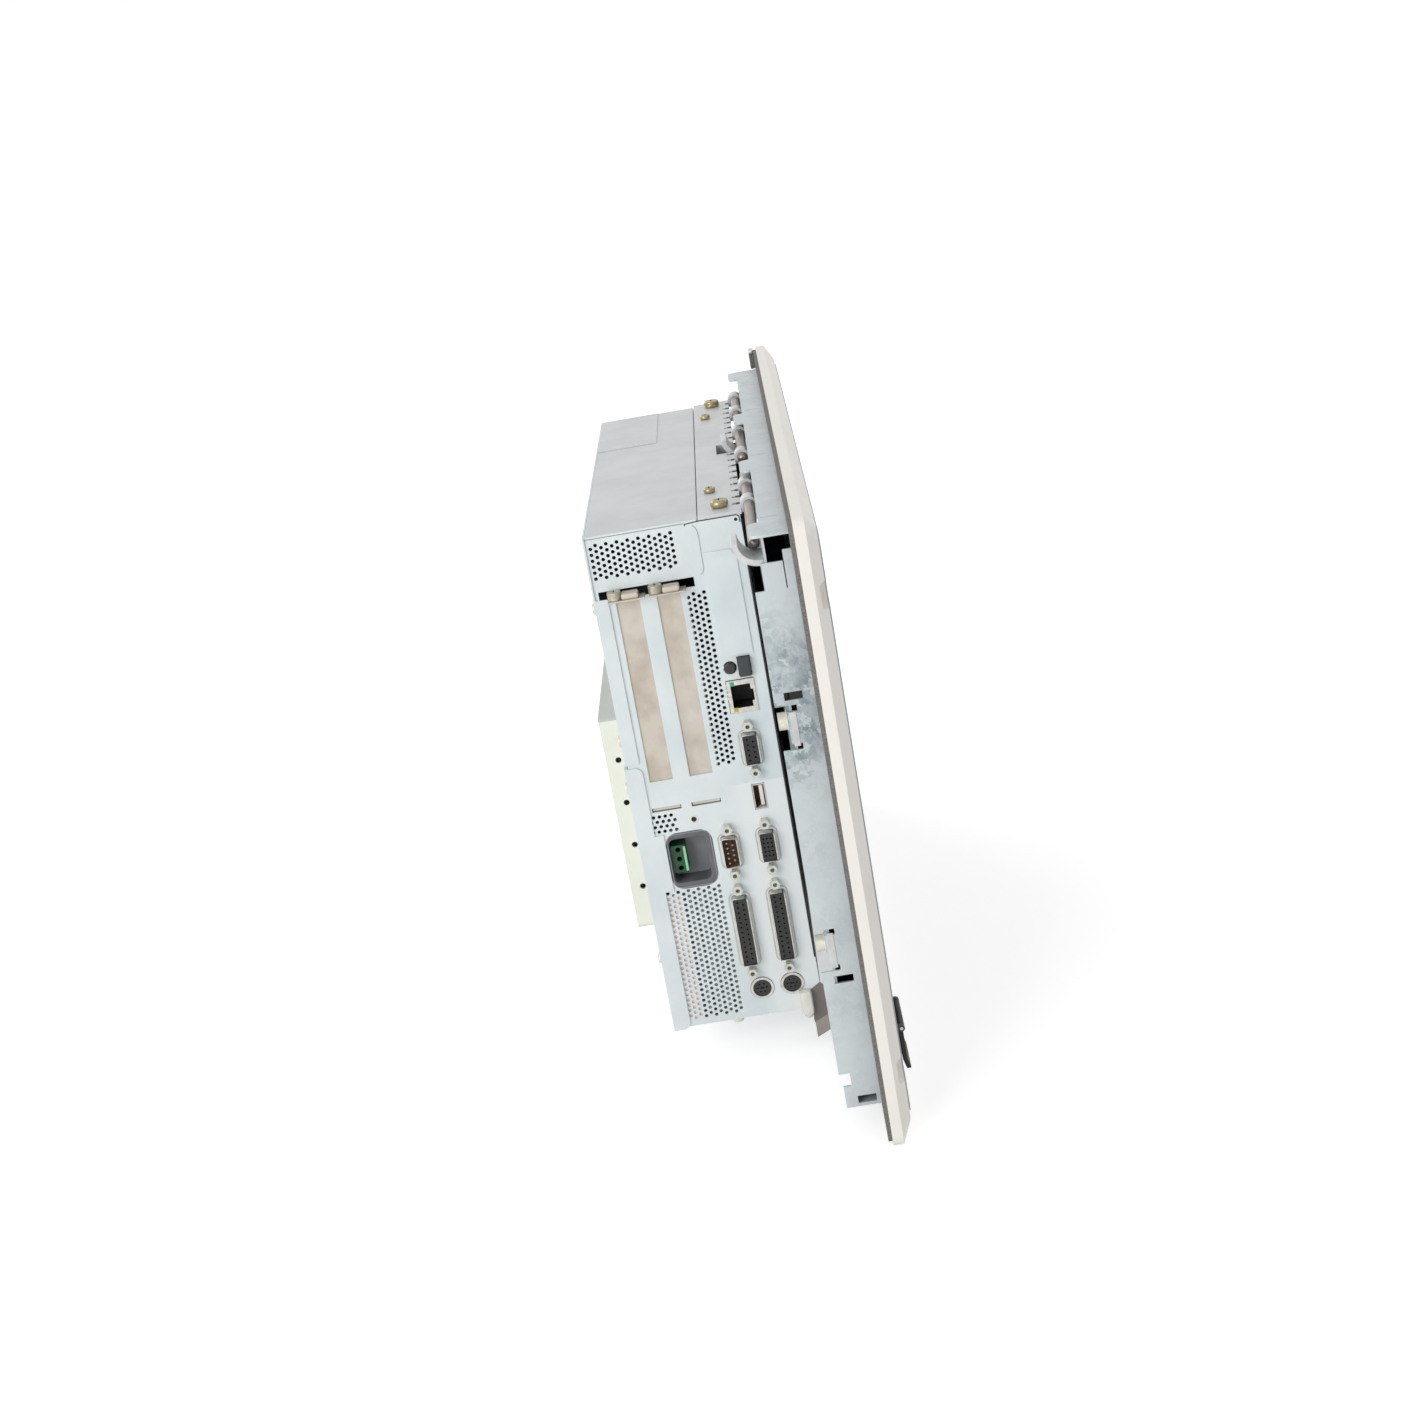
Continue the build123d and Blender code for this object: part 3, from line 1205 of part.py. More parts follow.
def drive_side_plate():
    """Far side plate with the drive openings, a vent field and the same hem."""
    depth = (unit_front, cover_plane)
    outline = rect(depth, (unit_floor, unit_roof))
    clear = DRIVE_OPENING_CLEARANCE
    drive_y = (drive_front - clear, drive_rear + clear)
    shapes = [
        rect(drive_y, (optical_low - clear, optical_high + clear)),
        rect(drive_y, (floppy_low - clear, floppy_high + clear)),
    ]
    start_y = drive_front - DRIVE_THICKNESS
    start_z = floppy_low
    counts = (DRIVE_VENT_COLUMNS, DRIVE_VENT_ROWS)
    shapes += vent_field(start_y, start_z, counts, True, (VENT_COLUMN_PITCH, VENT_ROW_PITCH))
    plate = sheet("X", (inner_right, unit_right), outline, shapes)
    cut_back = unit_front + BRACKET_DEPTH + SHEET
    plate -= block(
        (inner_right - CUT_OVERRUN, unit_right + CUT_OVERRUN),
        (unit_front - CUT_OVERRUN, cut_back),
        (inner_roof, unit_roof + CUT_OVERRUN),
    )
    hem = block(
        (inner_right - HEM_WIDTH, inner_right),
        (unit_front + SHEET, unit_front + HEM_LENGTH),
        (inner_roof - SHEET, inner_roof),
    )
    return plate + hem


def standoff_places():
    """Standoffs between the unit's front plate and the main board, as (x, z)."""
    near = inner_left + BOARD_MARGIN_X + STANDOFF_INSET
    far = inner_right - STANDOFF_FAR_INSET
    inset = BOARD_MARGIN_Z + STANDOFF_INSET
    up = (inner_floor + inset, inner_roof - inset)
    return [(x, z) for x in (near, mid((inner_left, inner_right)), far) for z in up]


def unit_front_plate():
    """Front plate of the unit with pressed standoffs and a notch for the middle hook."""
    inside = (unit_front, unit_front + SHEET)
    plate = sheet("Y", inside, rect((inner_left, inner_right), (inner_floor, inner_roof)))
    reach = hook_radius + HOOK_WALL + BRACKET_CUT_MARGIN - HOOK_OFFSET_Z
    through = (inside[0] - CUT_OVERRUN, inside[1] + CUT_OVERRUN)
    notch_z = (rod_z - reach - HOOK_OFFSET_Z, inner_roof + CUT_OVERRUN)
    for cut in hook_cut_spans():
        plate -= block(cut, through, notch_z)
    for x, z in standoff_places():
        plate += rod("Y", (inside[1], board_front), x, z, STANDOFF_RADIUS)
    return plate


def bottom_plate():
    """Floor of the unit with a vent field under the supply."""
    outline = rect((inner_left, inner_right), (unit_front + SHEET, cover_plane))
    vents = []
    start = unit_rear - SUPPLY_BACK - FLOOR_VENT_BACK
    for column in range(FLOOR_VENT_COLUMNS):
        x = inner_left + FLOOR_VENT_INSET + column * FLOOR_VENT_PITCH
        for row in range(FLOOR_VENT_ROWS):
            vents.append(disc(x, start - row * VENT_ROW_PITCH, VENT_RADIUS))
    return sheet("Z", (unit_floor, inner_floor), outline, vents)


def top_cover():
    """Roof of the unit behind the hinge bracket."""
    front = unit_front + BRACKET_DEPTH + SHEET / 2
    return block((inner_left, inner_right), (front, cover_plane), (inner_roof, unit_roof))


def motherboard():
    """Main board with its riser socket, reset switch and some parts."""
    across = (inner_left + BOARD_MARGIN_X, inner_right - BOARD_FAR_MARGIN)
    up = (inner_floor + BOARD_MARGIN_Z, inner_roof - BOARD_MARGIN_Z)
    board = block(across, (board_front, board_rear), up)
    riser_x = around(unit_left + BUS_START + BUS_LENGTH / 2, BUS_LENGTH - 2 * RISER_MARGIN)
    riser_y = (board_rear, board_rear + RISER_THICKNESS)
    board += block(riser_x, riser_y, around(bus_height(), RISER_HEIGHT))
    reset_y = unit_rear - RESET_BACK
    switch_start = inner_left + RESET_INNER + RESET_TRAVEL + PORT_CLEARANCE
    switch_x = (switch_start, switch_start + 2 * RESET_RADIUS)
    foot_top = button_z - EJECT_ROD_HEIGHT / 2 - 2 * PORT_CLEARANCE
    foot_z = (foot_top - RESET_RADIUS, foot_top)
    board += block(switch_x, (board_rear, reset_y + RESET_RADIUS), foot_z)
    board += block(switch_x, around(reset_y, 2 * RESET_RADIUS), (foot_z[0], button_z + RESET_RADIUS))
    chip_y = (board_rear, board_rear + BOARD_THICKNESS)
    for share_x, share_z in CHIP_PLACE_SHARES:
        x = across[0] + share_x * width(across)
        z = up[0] + share_z * width(up)
        board += block(around(x, CHIP_SIZE), chip_y, around(z, CHIP_SIZE))
    return board


def bus_height():
    """Z of the bus board's middle plane."""
    return tail_slit_span()[0] - TAIL_SLIT_HEIGHT / 2


def bus_board():
    """Bus board for two long cards, plugged into the riser socket."""
    start = board_rear + RISER_THICKNESS
    across = (unit_left + BUS_START, unit_left + BUS_START + BUS_LENGTH)
    middle = bus_height()
    up = around(middle, BOARD_THICKNESS)
    board = block(across, (start, start + BUS_DEPTH), up)
    for y in slot_columns:
        socket_y = around(y, CARD_SOCKET_WIDTH)
        near = across[0] + CARD_SOCKET_WIDTH
        top = up[1] + CARD_SOCKET_HEIGHT
        board += block((near, near + CARD_SOCKET_LENGTH), socket_y, (up[1], top))
        slot_x = (near + SOCKET_SLOT, near + CARD_SOCKET_LENGTH - SOCKET_SLOT)
        slot_z = (up[1] + SOCKET_SLOT, top + CUT_OVERRUN)
        board -= block(slot_x, around(y, SOCKET_SLOT), slot_z)
    return board


def heatsink():
    """Finned heatsink on the processor."""
    near = inner_right - SINK_FROM_SIDE
    across = (near, near + SINK_LENGTH)
    start = unit_floor + SINK_LOW
    up = (start, start + SINK_HEIGHT)
    sink = block(across, (board_rear, board_rear + SINK_BASE), up)
    pitch = (SINK_HEIGHT - SINK_FIN) / (SINK_FINS - 1)
    for number in range(SINK_FINS):
        low = up[0] + number * pitch
        sink += block(across, (board_rear, board_rear + SINK_DEPTH), (low, low + SINK_FIN))
    return sink


def power_supply():
    """Supply on the floor behind the power inlet."""
    start = power_supply_start()
    rear = unit_rear - SUPPLY_BACK
    across = (start, start + SUPPLY_LENGTH)
    return block(across, (rear - SUPPLY_WIDTH, rear), (inner_floor, inner_floor + SUPPLY_HEIGHT))


def fan_place():
    """Start of the fan along X, and its axis in (Y, Z)."""
    start = power_supply_start() + SUPPLY_LENGTH
    return start, unit_rear - FAN_BACK - FAN_SIZE / 2, inner_floor + FAN_SIZE / 2


def fan_housing():
    """Square fan housing with a three-arm spider and the rotor's pin."""
    start, y, z = fan_place()
    span = (start, start + FAN_THICKNESS)
    outline = rect(around(y, FAN_SIZE), around(z, FAN_SIZE), DISK_CORNER)
    inset = FAN_SIZE / 2 - DISK_CORNER
    corners = [(side, rise) for side in (-inset, inset) for rise in (-inset, inset)]
    holes = [disc(y + side, z + rise, FAN_HOLE) for side, rise in corners]
    housing = sheet("X", span, outline, [disc(y, z, FAN_BORE)] + holes)
    spider = (start, start + FAN_SPIDER)
    plate = sheet("X", spider, disc(y, z, FAN_HUB))
    reach = (FAN_BORE + FAN_SIZE / 2) / 2
    for number in range(FAN_ARMS):
        turn = 90 + 360 / FAN_ARMS * number
        arm = Rot(turn, 0, 0) * Pos(0, reach / 2, 0) * Box(FAN_SPIDER, reach, FAN_SPIDER)
        plate += Pos(mid(spider), y, z) * arm
    housing += plate
    return housing + rod("X", (start, span[1] - FAN_SPIDER - FAN_AIR), y, z, FAN_PIN)


def fan_rotor():
    """Fan wheel: a cup on the pin, with twisted blades."""
    start, y, z = fan_place()
    span = (start + FAN_SPIDER + FAN_AIR / 2, start + FAN_THICKNESS - FAN_AIR)
    hub = rod("X", span, y, z, FAN_HUB)
    tip = FAN_BORE - FAN_TIP_AIR
    length = tip - FAN_HUB / 2
    lean = math.cos(math.radians(FAN_BLADE_TWIST))
    deep = FAN_BLADE_SHARE * (width(span) - FAN_SPIDER) / lean
    flat = Rot(0, FAN_BLADE_TWIST, 0) * Box(deep, length, FAN_BLADE_SHEET)
    blade = Pos(0, FAN_HUB / 2 + length / 2, 0) * flat
    for number in range(FAN_BLADES):
        hub += Pos(mid(span), y, z) * (Rot(360 / FAN_BLADES * number, 0, 0) * blade)
    hub &= rod("X", span, y, z, tip)
    pin_end = start + FAN_THICKNESS - FAN_SPIDER - FAN_AIR
    bore = rod("X", (start, pin_end + FAN_AIR / 2), y, z, FAN_PIN + RUNNING_CLEARANCE)
    return hub - bore


def hard_disk():
    """Hard disk in the drive cover, with a raised lid."""
    across = around(disk_x, DISK_LENGTH)
    up = around(disk_z, DISK_HEIGHT)
    depth = (disk_rear - DISK_THICKNESS + DISK_LID, disk_rear)
    body = sheet("Y", depth, rect(across, up, DISK_CORNER))
    margin = DISK_LID_MARGIN
    lid_across = (across[0] + margin, across[1] - margin)
    lid = rect(lid_across, (up[0] + margin, up[1] - margin), DISK_CORNER)
    return body + sheet("Y", (disk_rear - DISK_THICKNESS, depth[0]), lid)


def disk_window():
    """Opening in the rear covers that the hard disk passes, in (X, Z)."""
    across = around(disk_x, DISK_LENGTH + 2 * DISK_WINDOW_MARGIN)
    return rect(across, around(disk_z, DISK_HEIGHT + 2 * DISK_WINDOW_MARGIN))


def cover_lap(x_low, depth, up, radius):
    """Flange that laps the outside of a side plate, with rounded front corners."""
    outline = rect((depth[0], depth[1] + radius), up, radius)
    lap = sheet("X", (x_low, x_low + SHEET), outline)
    return lap & block((x_low, x_low + SHEET), depth, up)


def back_screw_places():
    """Screws of the rear covers, as (x, z)."""
    places = []
    for share in BACK_SCREW_HEIGHT_SHARES:
        z = unit_floor + share * UNIT_HEIGHT
        places += [(inner_left + 2 * BACK_SCREW_EDGE, z), (inner_right - 2 * BACK_SCREW_EDGE, z)]
    return places


def rear_openings(low, high):
    """Screw holes of the rear covers between two heights."""
    hole = SMALL_SCREW_RADIUS / 2 + SCREW_HOLE_CLEARANCE
    return [disc(x, z, hole) for x, z in back_screw_places() if low < z < high]


def back_cover():
    """Upper rear cover with its flanges over both side plates."""
    up = (split_z + SHEET, unit_roof)
    across = (unit_left - SHEET, unit_right + SHEET)
    plate = sheet("Y", (cover_plane, unit_rear), rect(across, up), rear_openings(*up))
    cut = disk_window()
    plate -= sheet("Y", (cover_plane - CUT_OVERRUN, unit_rear + CUT_OVERRUN), cut)
    lap_up = (up[0], unit_floor + UPPER_FLANGE_TOP)
    for low in (unit_left - SHEET, unit_right):
        plate += cover_lap(low, (unit_rear - UPPER_LAP, unit_rear), lap_up, SHEET)
    return plate


def rear_hatch():
    """Lower rear cover that carries the hard disk and its cover."""
    up = (unit_floor - SHEET, split_z - SHEET)
    across = (unit_left - SHEET, unit_right + SHEET)
    plate = sheet("Y", (cover_plane, hatch_rear), rect(across, up), rear_openings(*up))
    cut = disk_window()
    plate -= sheet("Y", (cover_plane - CUT_OVERRUN, hatch_rear + CUT_OVERRUN), cut)
    for low in (unit_left - SHEET, unit_right):
        plate += cover_lap(low, (hatch_rear - LOWER_LAP - SHEET, hatch_rear), up, HATCH_CORNER)
    wide = (recess_z - RECESS_HEIGHT / 2, recess_z + RECESS_HEIGHT / 2)
    start = recess_y + RECESS_WIDTH / 2
    return plate + block((unit_left - SHEET, unit_left), (start, hatch_rear - LOWER_LAP), wide)


def drive_cover():
    """Box over the hard disk on the rear hatch, vented at its ends."""
    across = (bump_left, bump_right)
    up = (bump_low, bump_high)
    shell = sheet("Y", (hatch_rear, bump_rear), rect(across, up, BUMP_CORNER))
    wall = BUMP_WALL
    inside_across = (across[0] + wall, across[1] - wall)
    inside = rect(inside_across, (up[0] + wall, up[1] - wall), BUMP_CORNER / 2)
    shell -= sheet("Y", (hatch_rear - CUT_OVERRUN, disk_rear), inside)
    y = mid((hatch_rear, disk_rear))
    through = (across[0] - CUT_OVERRUN, across[1] + CUT_OVERRUN)
    for number in range(BUMP_VENT_COUNT):
        z = up[0] + (number + 1) * width(up) / (BUMP_VENT_COUNT + 1)
        shell -= rod("X", through, y, z, BUMP_VENT_RADIUS)
    return shell


def back_screws():
    """Small screws of the rear covers."""
    screws = []
    for x, z in back_screw_places():
        seat = hatch_rear if z < split_z else unit_rear
        head = cross_head("Y", seat, 1, x, z, SMALL_SCREW_RADIUS, SMALL_SCREW_HEAD)
        screws.append(head + rod("Y", (cover_plane - SHEET, seat), x, z, SMALL_SCREW_RADIUS / 2))
    return group(screws)


def case_screws():
    """Brass screws of the hinge bracket and the floor."""
    screws = []
    seat = inner_roof + BRACKET_SHEET
    for x, y, radius in top_screw_places():
        height = BIG_SCREW_HEAD if radius == BIG_SCREW_RADIUS else SMALL_SCREW_HEAD
        screws.append(cross_head("Z", seat, 1, x, y, radius, height))
    y = unit_rear - FLOOR_SCREW_BACK
    for x in (inner_left + FLOOR_SCREW_EDGE, inner_right - FLOOR_SCREW_EDGE):
        screws.append(cross_head("Z", unit_floor, -1, x, y, SMALL_SCREW_RADIUS, FLOOR_SCREW_HEAD))
    return group(screws)


def slot_blank(y):
    """Bracket that blanks one card slot, with its tab over the ledge and its tail in the slit."""
    inside = (inner_left, inner_left + BLANK_SHEET)
    tail = tail_slit_span()
    across = around(y, BLANK_WIDTH)
    plate = block(inside, across, (tail[1], slot_window_high))
    tongue = around(y, TAIL_SLIT_WIDTH - 2 * PORT_CLEARANCE)
    plate += block(inside, tongue, (tail[0] + PORT_CLEARANCE, tail[1]))
    top = (slot_window_high - BLANK_SHEET, slot_window_high)
    plate += block((inner_left, inside[1]), across, top)
    ledge = (slot_window_high, slot_window_high + BLANK_SHEET)
    tab = block((unit_left - BLANK_TAB_REACH, inside[1]), across, ledge)
    return plate + tab


def slot_screws():
    """Screws on the tabs of the slot blanks."""
    seat = slot_window_high + BLANK_SHEET
    screws = []
    for y in slot_columns:
        at = y + BLANK_WIDTH / 2 - SLOT_SCREW_RADIUS
        x = unit_left - SLOT_SCREW_RADIUS - PORT_CLEARANCE
        screws.append(cross_head("Z", seat, 1, x, at, SLOT_SCREW_RADIUS, SLOT_SCREW_HEAD))
    return group(screws)


def power_recess():
    """Recessed inlet housing that fills its cut-out in the side plate."""
    clear = PORT_CLEARANCE / 2
    outer = rect(
        around(recess_y, RECESS_WIDTH - 2 * clear),
        around(recess_z, RECESS_HEIGHT - 2 * clear),
        RECESS_CORNER - clear,
    )
    span = (unit_left, inner_left + RECESS_DEPTH)
    body = sheet("X", span, outer)
    flange = rect(
        around(recess_y, RECESS_WIDTH + RECESS_RIM),
        around(recess_z, RECESS_HEIGHT + RECESS_RIM),
        RECESS_CORNER,
    )
    body += sheet("X", (inner_left, inner_left + SHEET), flange)
    well_rear = recess_y + RECESS_WIDTH / 2 - RECESS_REAR_RIM
    well = rect(
        (recess_y - RECESS_WIDTH / 2 + RECESS_RIM, well_rear),
        around(recess_z, RECESS_HEIGHT - 2 * RECESS_RIM),
        RECESS_CORNER - RECESS_RIM,
    )
    body -= sheet("X", (unit_left - CUT_OVERRUN, span[1] - SHEET), well)
    duct = (span[1] - SHEET, power_supply_start())
    return body + block(duct, around(recess_y, TERMINAL_WIDTH), around(recess_z, TERMINAL_WIDTH))


def power_supply_start():
    """X of the supply's near face."""
    return inner_left + RECESS_DEPTH + SHEET


def power_terminal():
    """Plug-in terminal block in the well of the inlet."""
    rear = recess_y + RECESS_WIDTH / 2 - RECESS_REAR_RIM
    across = (rear - TERMINAL_WIDTH, rear)
    floor = inner_left + RECESS_DEPTH - SHEET
    up = around(recess_z, TERMINAL_HEIGHT)
    body = block((floor - TERMINAL_DEPTH, floor), across, up)
    hole_x = (floor - TERMINAL_DEPTH - CUT_OVERRUN, floor - SHEET)
    for number in range(TERMINAL_WAYS):
        z = up[0] + (number + 0.5) * TERMINAL_HEIGHT / TERMINAL_WAYS
        body -= rod("X", hole_x, mid(across), z, TERMINAL_HOLE)
    return body


def card_slot_cover():
    """Plate screwed over the card slot, with a bent lip."""
    across = (cover_front, cover_front + COVER_WIDTH)
    outer = unit_left - COVER_SHEET
    plate = sheet("X", (outer, unit_left), rect(across, (cover_low, cover_high)))
    lip_y = (across[0] + COVER_LIP, across[1] - 2 * COVER_LIP)
    return plate + block((outer - SHEET, outer), lip_y, (cover_high - COVER_LIP, cover_high))


def card_cage():
    """Card cage on the main board, with the guide of the eject rod under it."""
    y = (board_rear, board_rear + CAGE_THICKNESS)
    x = (inner_left + SHEET, inner_left + SHEET + CAGE_LENGTH)
    up = (cover_low + CAGE_SHEET, cover_high - CAGE_SHEET)
    cage = block(x, y, up)
    hollow_y = (y[0] + COVER_LIP * 2, y[1] - CAGE_SHEET)
    hollow_z = (up[0] + COVER_LIP, up[1] - COVER_LIP)
    cage -= block((x[0] - CUT_OVERRUN, x[1] - COVER_LIP), hollow_y, hollow_z)
    eject_y = eject_centre_y()
    guide_z = (button_z - EJECT_ROD_HEIGHT / 2 - COVER_LIP, up[0])
    guide_y = (board_rear, eject_y + EJECT_ROD_WIDTH / 2 + COVER_LIP)
    guide_x = (x[0] + EJECT_ROD / 2, x[1])
    guide = block(guide_x, guide_y, guide_z)
    guide -= block(
        (guide_x[0] - CUT_OVERRUN, guide_x[1] + CUT_OVERRUN),
        around(eject_y, EJECT_ROD_WIDTH + 2 * PORT_CLEARANCE),
        around(button_z, EJECT_ROD_HEIGHT + 2 * PORT_CLEARANCE),
    )
    return cage + guide


def card_eject_button():
    """Eject button with its push rod."""
    y = eject_centre_y()
    clear = PORT_CLEARANCE
    cap_y = around(y, EJECT_WIDTH - 2 * clear)
    cap_x = (unit_left - EJECT_PROUD, inner_left + SHEET)
    cap = block(cap_x, cap_y, around(button_z, EJECT_HEIGHT - 2 * clear))
    rod_x = (inner_left, inner_left + EJECT_ROD)
    return cap + block(rod_x, around(y, EJECT_ROD_WIDTH), around(button_z, EJECT_ROD_HEIGHT))


def reset_button():
    """Round reset button."""
    y = unit_rear - RESET_BACK
    return rod("X", (unit_left - RESET_PROUD, inner_left + RESET_INNER), y, button_z, RESET_RADIUS)


def optical_drive():
    """Slim disc drive: an open-ended case that the tray slides out of."""
    across = (inner_right - OPTICAL_DEPTH, inner_right - SHEET)
    case = block(across, (drive_front, drive_rear), (optical_low, optical_high))
    wall = DRIVE_WALL
    hollow_x = (across[0] + wall, across[1] + CUT_OVERRUN)
    hollow_y = (drive_front + wall, drive_rear - wall)
    return case - block(hollow_x, hollow_y, (optical_low + wall, optical_high - wall))


def tray_span():
    """Y span of the disc tray in its case."""
    return around(mid((drive_front, drive_rear)), DRIVE_THICKNESS - 2 * (DRIVE_WALL + TRAY_AIR))


def tray_button_centre():
    """Middle of the tray's eject button, as (y, z)."""
    return mid((drive_front, drive_rear)), optical_low + TRAY_BUTTON_WIDTH * 2


def optical_tray():
    """Disc tray with its bezel, recess and hub."""
    y = tray_span()
    up = (optical_low + DRIVE_WALL + TRAY_AIR, optical_high - DRIVE_WALL - TRAY_AIR)
    across = (inner_right - OPTICAL_DEPTH + DRIVE_WALL + TRAY_AIR, inner_right)
    tray = block(across, y, up)
    centre_x = mid(across)
    centre_z = mid(up)
    recess = (y[1] - DISC_RECESS, y[1] + CUT_OVERRUN)
    tray -= sheet("Y", recess, disc(centre_x, centre_z, DISC_RADIUS))
    tray += rod("Y", (y[1] - DISC_RECESS, y[1] - TRAY_AIR / 2), centre_x, centre_z, DISC_HUB)
    face = inner_right + TRAY_BEZEL
    tray += block((inner_right, face), (drive_front, drive_rear), (optical_low, optical_high))
    button_y, button_up = tray_button_centre()
    clear = 2 * PORT_CLEARANCE
    pocket = (face - 2 * TRAY_BUTTON_TRAVEL - PORT_CLEARANCE, face + CUT_OVERRUN)
    across_y = around(button_y, TRAY_BUTTON_HEIGHT + clear)
    return tray - block(pocket, across_y, around(button_up, TRAY_BUTTON_WIDTH + clear))


def tray_button():
    """Small button in the tray's bezel."""
    y, z = tray_button_centre()
    start = inner_right + TRAY_BEZEL - TRAY_BUTTON_TRAVEL
    across = (start, start + 2 * TRAY_BUTTON_TRAVEL)
    return block(across, around(y, TRAY_BUTTON_HEIGHT), around(z, TRAY_BUTTON_WIDTH))


def floppy_button_centre():
    """Middle of the diskette drive's button, as (y, z)."""
    return drive_front + DRIVE_THICKNESS / 4, floppy_low + FLOPPY_BUTTON_WIDTH


def floppy_drive():
    """Diskette drive with its slot and the pocket of its button."""
    across = (inner_right - FLOPPY_DEPTH, unit_right + TRAY_BEZEL / 2)
    body = block(across, (drive_front, drive_rear), (floppy_low, floppy_high))
    slot_y = (drive_rear - DRIVE_THICKNESS / 8 - FLOPPY_SLOT, drive_rear - DRIVE_THICKNESS / 8)
    slot_x = (across[1] - FLOPPY_SLOT_DEPTH, across[1] + CUT_OVERRUN)
    body -= block(slot_x, slot_y, around(mid((floppy_low, floppy_high)), FLOPPY_SLOT_WIDTH))
    y, z = floppy_button_centre()
    clear = 2 * PORT_CLEARANCE
    deep = FLOPPY_BUTTON_DEPTH + FLOPPY_BUTTON_TRAVEL + PORT_CLEARANCE
    pocket = (across[1] - deep, across[1] + CUT_OVERRUN)
    across_y = around(y, FLOPPY_BUTTON_HEIGHT + clear)
    return body - block(pocket, across_y, around(z, FLOPPY_BUTTON_WIDTH + clear))


def floppy_button():
    """Eject button of the diskette drive."""
    y, z = floppy_button_centre()
    face = unit_right + TRAY_BEZEL / 2
    across = (face - FLOPPY_BUTTON_DEPTH, face + FLOPPY_BUTTON_PROUD)
    return block(across, around(y, FLOPPY_BUTTON_HEIGHT), around(z, FLOPPY_BUTTON_WIDTH))


def drive_cradle():
    """Sheet that carries both drives, with a flange on the far side plate."""
    across = (inner_right - CRADLE_LENGTH, inner_right)
    y = (drive_front - CRADLE_SHEET, drive_front)
    plate = block(across, y, (floppy_low, optical_high))
    flange_y = (y[0] - CRADLE_FLANGE, y[0])
    flange_x = (inner_right - CRADLE_SHEET, inner_right)
    return plate + block(flange_x, flange_y, (optical_low, optical_high))


def locking_post():
    """Upright post with a rounded end at the unit's lower corner."""
    y = unit_rear - POST_BACK
    x = unit_left - POST_RADIUS
    top = unit_floor + POST_RISE
    post = rod("Z", (top - POST_HEIGHT + POST_RADIUS, top), x, y, POST_RADIUS)
    return post + Pos(x, y, top - POST_HEIGHT + POST_RADIUS) * Sphere(POST_RADIUS)


def cable_tag():
    """Two foil flaps that hang from the unit's lower front corner."""
    high = unit_floor + TAG_RISE
    rear = unit_rear - TAG_BACK
    front = rear - TAG_WIDTH
    upper = Polyline(
        (rear, high - TAG_SLANT),
        (front + TAG_SLANT / 2, high),
        (front, high - TAG_SLANT / 2),
        (front, high - TAG_HEIGHT),
        (rear, high - TAG_SLANT - TAG_HEIGHT),
        close=True,
    )
    low = high - TAG_HEIGHT
    lower = Polyline(
        (rear - FLAP_AIR, low - TAG_SLANT + TAG_FOIL),
        (front - TAG_FOIL, low + TAG_FOIL),
        (front - TAG_FOIL, low - TAG_LOWER_HEIGHT + TAG_FOIL),
        (rear - FLAP_AIR, low - TAG_LOWER_HEIGHT - TAG_SLANT + TAG_FOIL),
        close=True,
    )
    outer = (unit_left - 2 * TAG_FOIL, unit_left - TAG_FOIL)
    inner = (unit_left - TAG_FOIL, unit_left)
    return group([sheet("X", inner, make_face(upper)), sheet("X", outer, make_face(lower))])


def build():
    """Make every sub-part, by node."""
    nodes = {
        "front_bezel": front_bezel(),
        "display_glass": display_glass(),
        "membrane_keypad": membrane_keypad(),
        "panel_gasket": panel_gasket(),
        "lcd_module": lcd_module(),
        "inverter_board": inverter_board(),
        "front_usb_socket": front_usb_socket(),
        "flap_frame": flap_frame(),
        "flap_hinge_pin": flap_hinge_pin(),
        "port_flap": port_flap(),
        "display_frame": display_frame(),
        "display_back_plate": display_back_plate(),
        "frame_screws": frame_screws(),
        "hinge_hooks": hinge_hooks(),
        "hinge_rods": hinge_rods(),
        "hinge_bracket": hinge_bracket(),
        "port_side_plate": port_side_plate(),
        "drive_side_plate": drive_side_plate(),
        "unit_front_plate": unit_front_plate(),
        "bottom_plate": bottom_plate(),
        "top_cover": top_cover(),
        "back_cover": back_cover(),
        "rear_hatch": rear_hatch(),
        "drive_cover": drive_cover(),
        "motherboard": motherboard(),
        "bus_board": bus_board(),
        "heatsink": heatsink(),
        "power_supply": power_supply(),
        "fan_housing": fan_housing(),
        "fan_rotor": fan_rotor(),
        "hard_disk": hard_disk(),
        "optical_drive": optical_drive(),
        "optical_tray": optical_tray(),
        "tray_button": tray_button(),
        "floppy_drive": floppy_drive(),
        "floppy_button": floppy_button(),
        "drive_cradle": drive_cradle(),
        "slot_blank_1": slot_blank(slot_columns[0]),
        "slot_blank_2": slot_blank(slot_columns[1]),
        "slot_screws": slot_screws(),
        "jack_screws": jack_screws(),
        "din_socket_1": din_socket(rear_din_y),
        "din_socket_2": din_socket(front_column_y),
        "usb_socket": usb_socket(),
        "ethernet_jack": ethernet_jack(),
        "power_recess": power_recess(),
        "power_terminal": power_terminal(),
        "card_slot_cover": card_slot_cover(),
        "card_cage": card_cage(),
        "card_eject_button": card_eject_button(),
        "reset_button": reset_button(),
        "case_screws": case_screws(),
        "back_screws": back_screws(),
        "locking_post": locking_post(),
        "cable_tag": cable_tag(),
    }
    for node in d_connectors():
        nodes[node] = d_connector(node)
    return nodes


os.makedirs("parts", exist_ok=True)
for node, shape in build().items():
    save(node, shape)
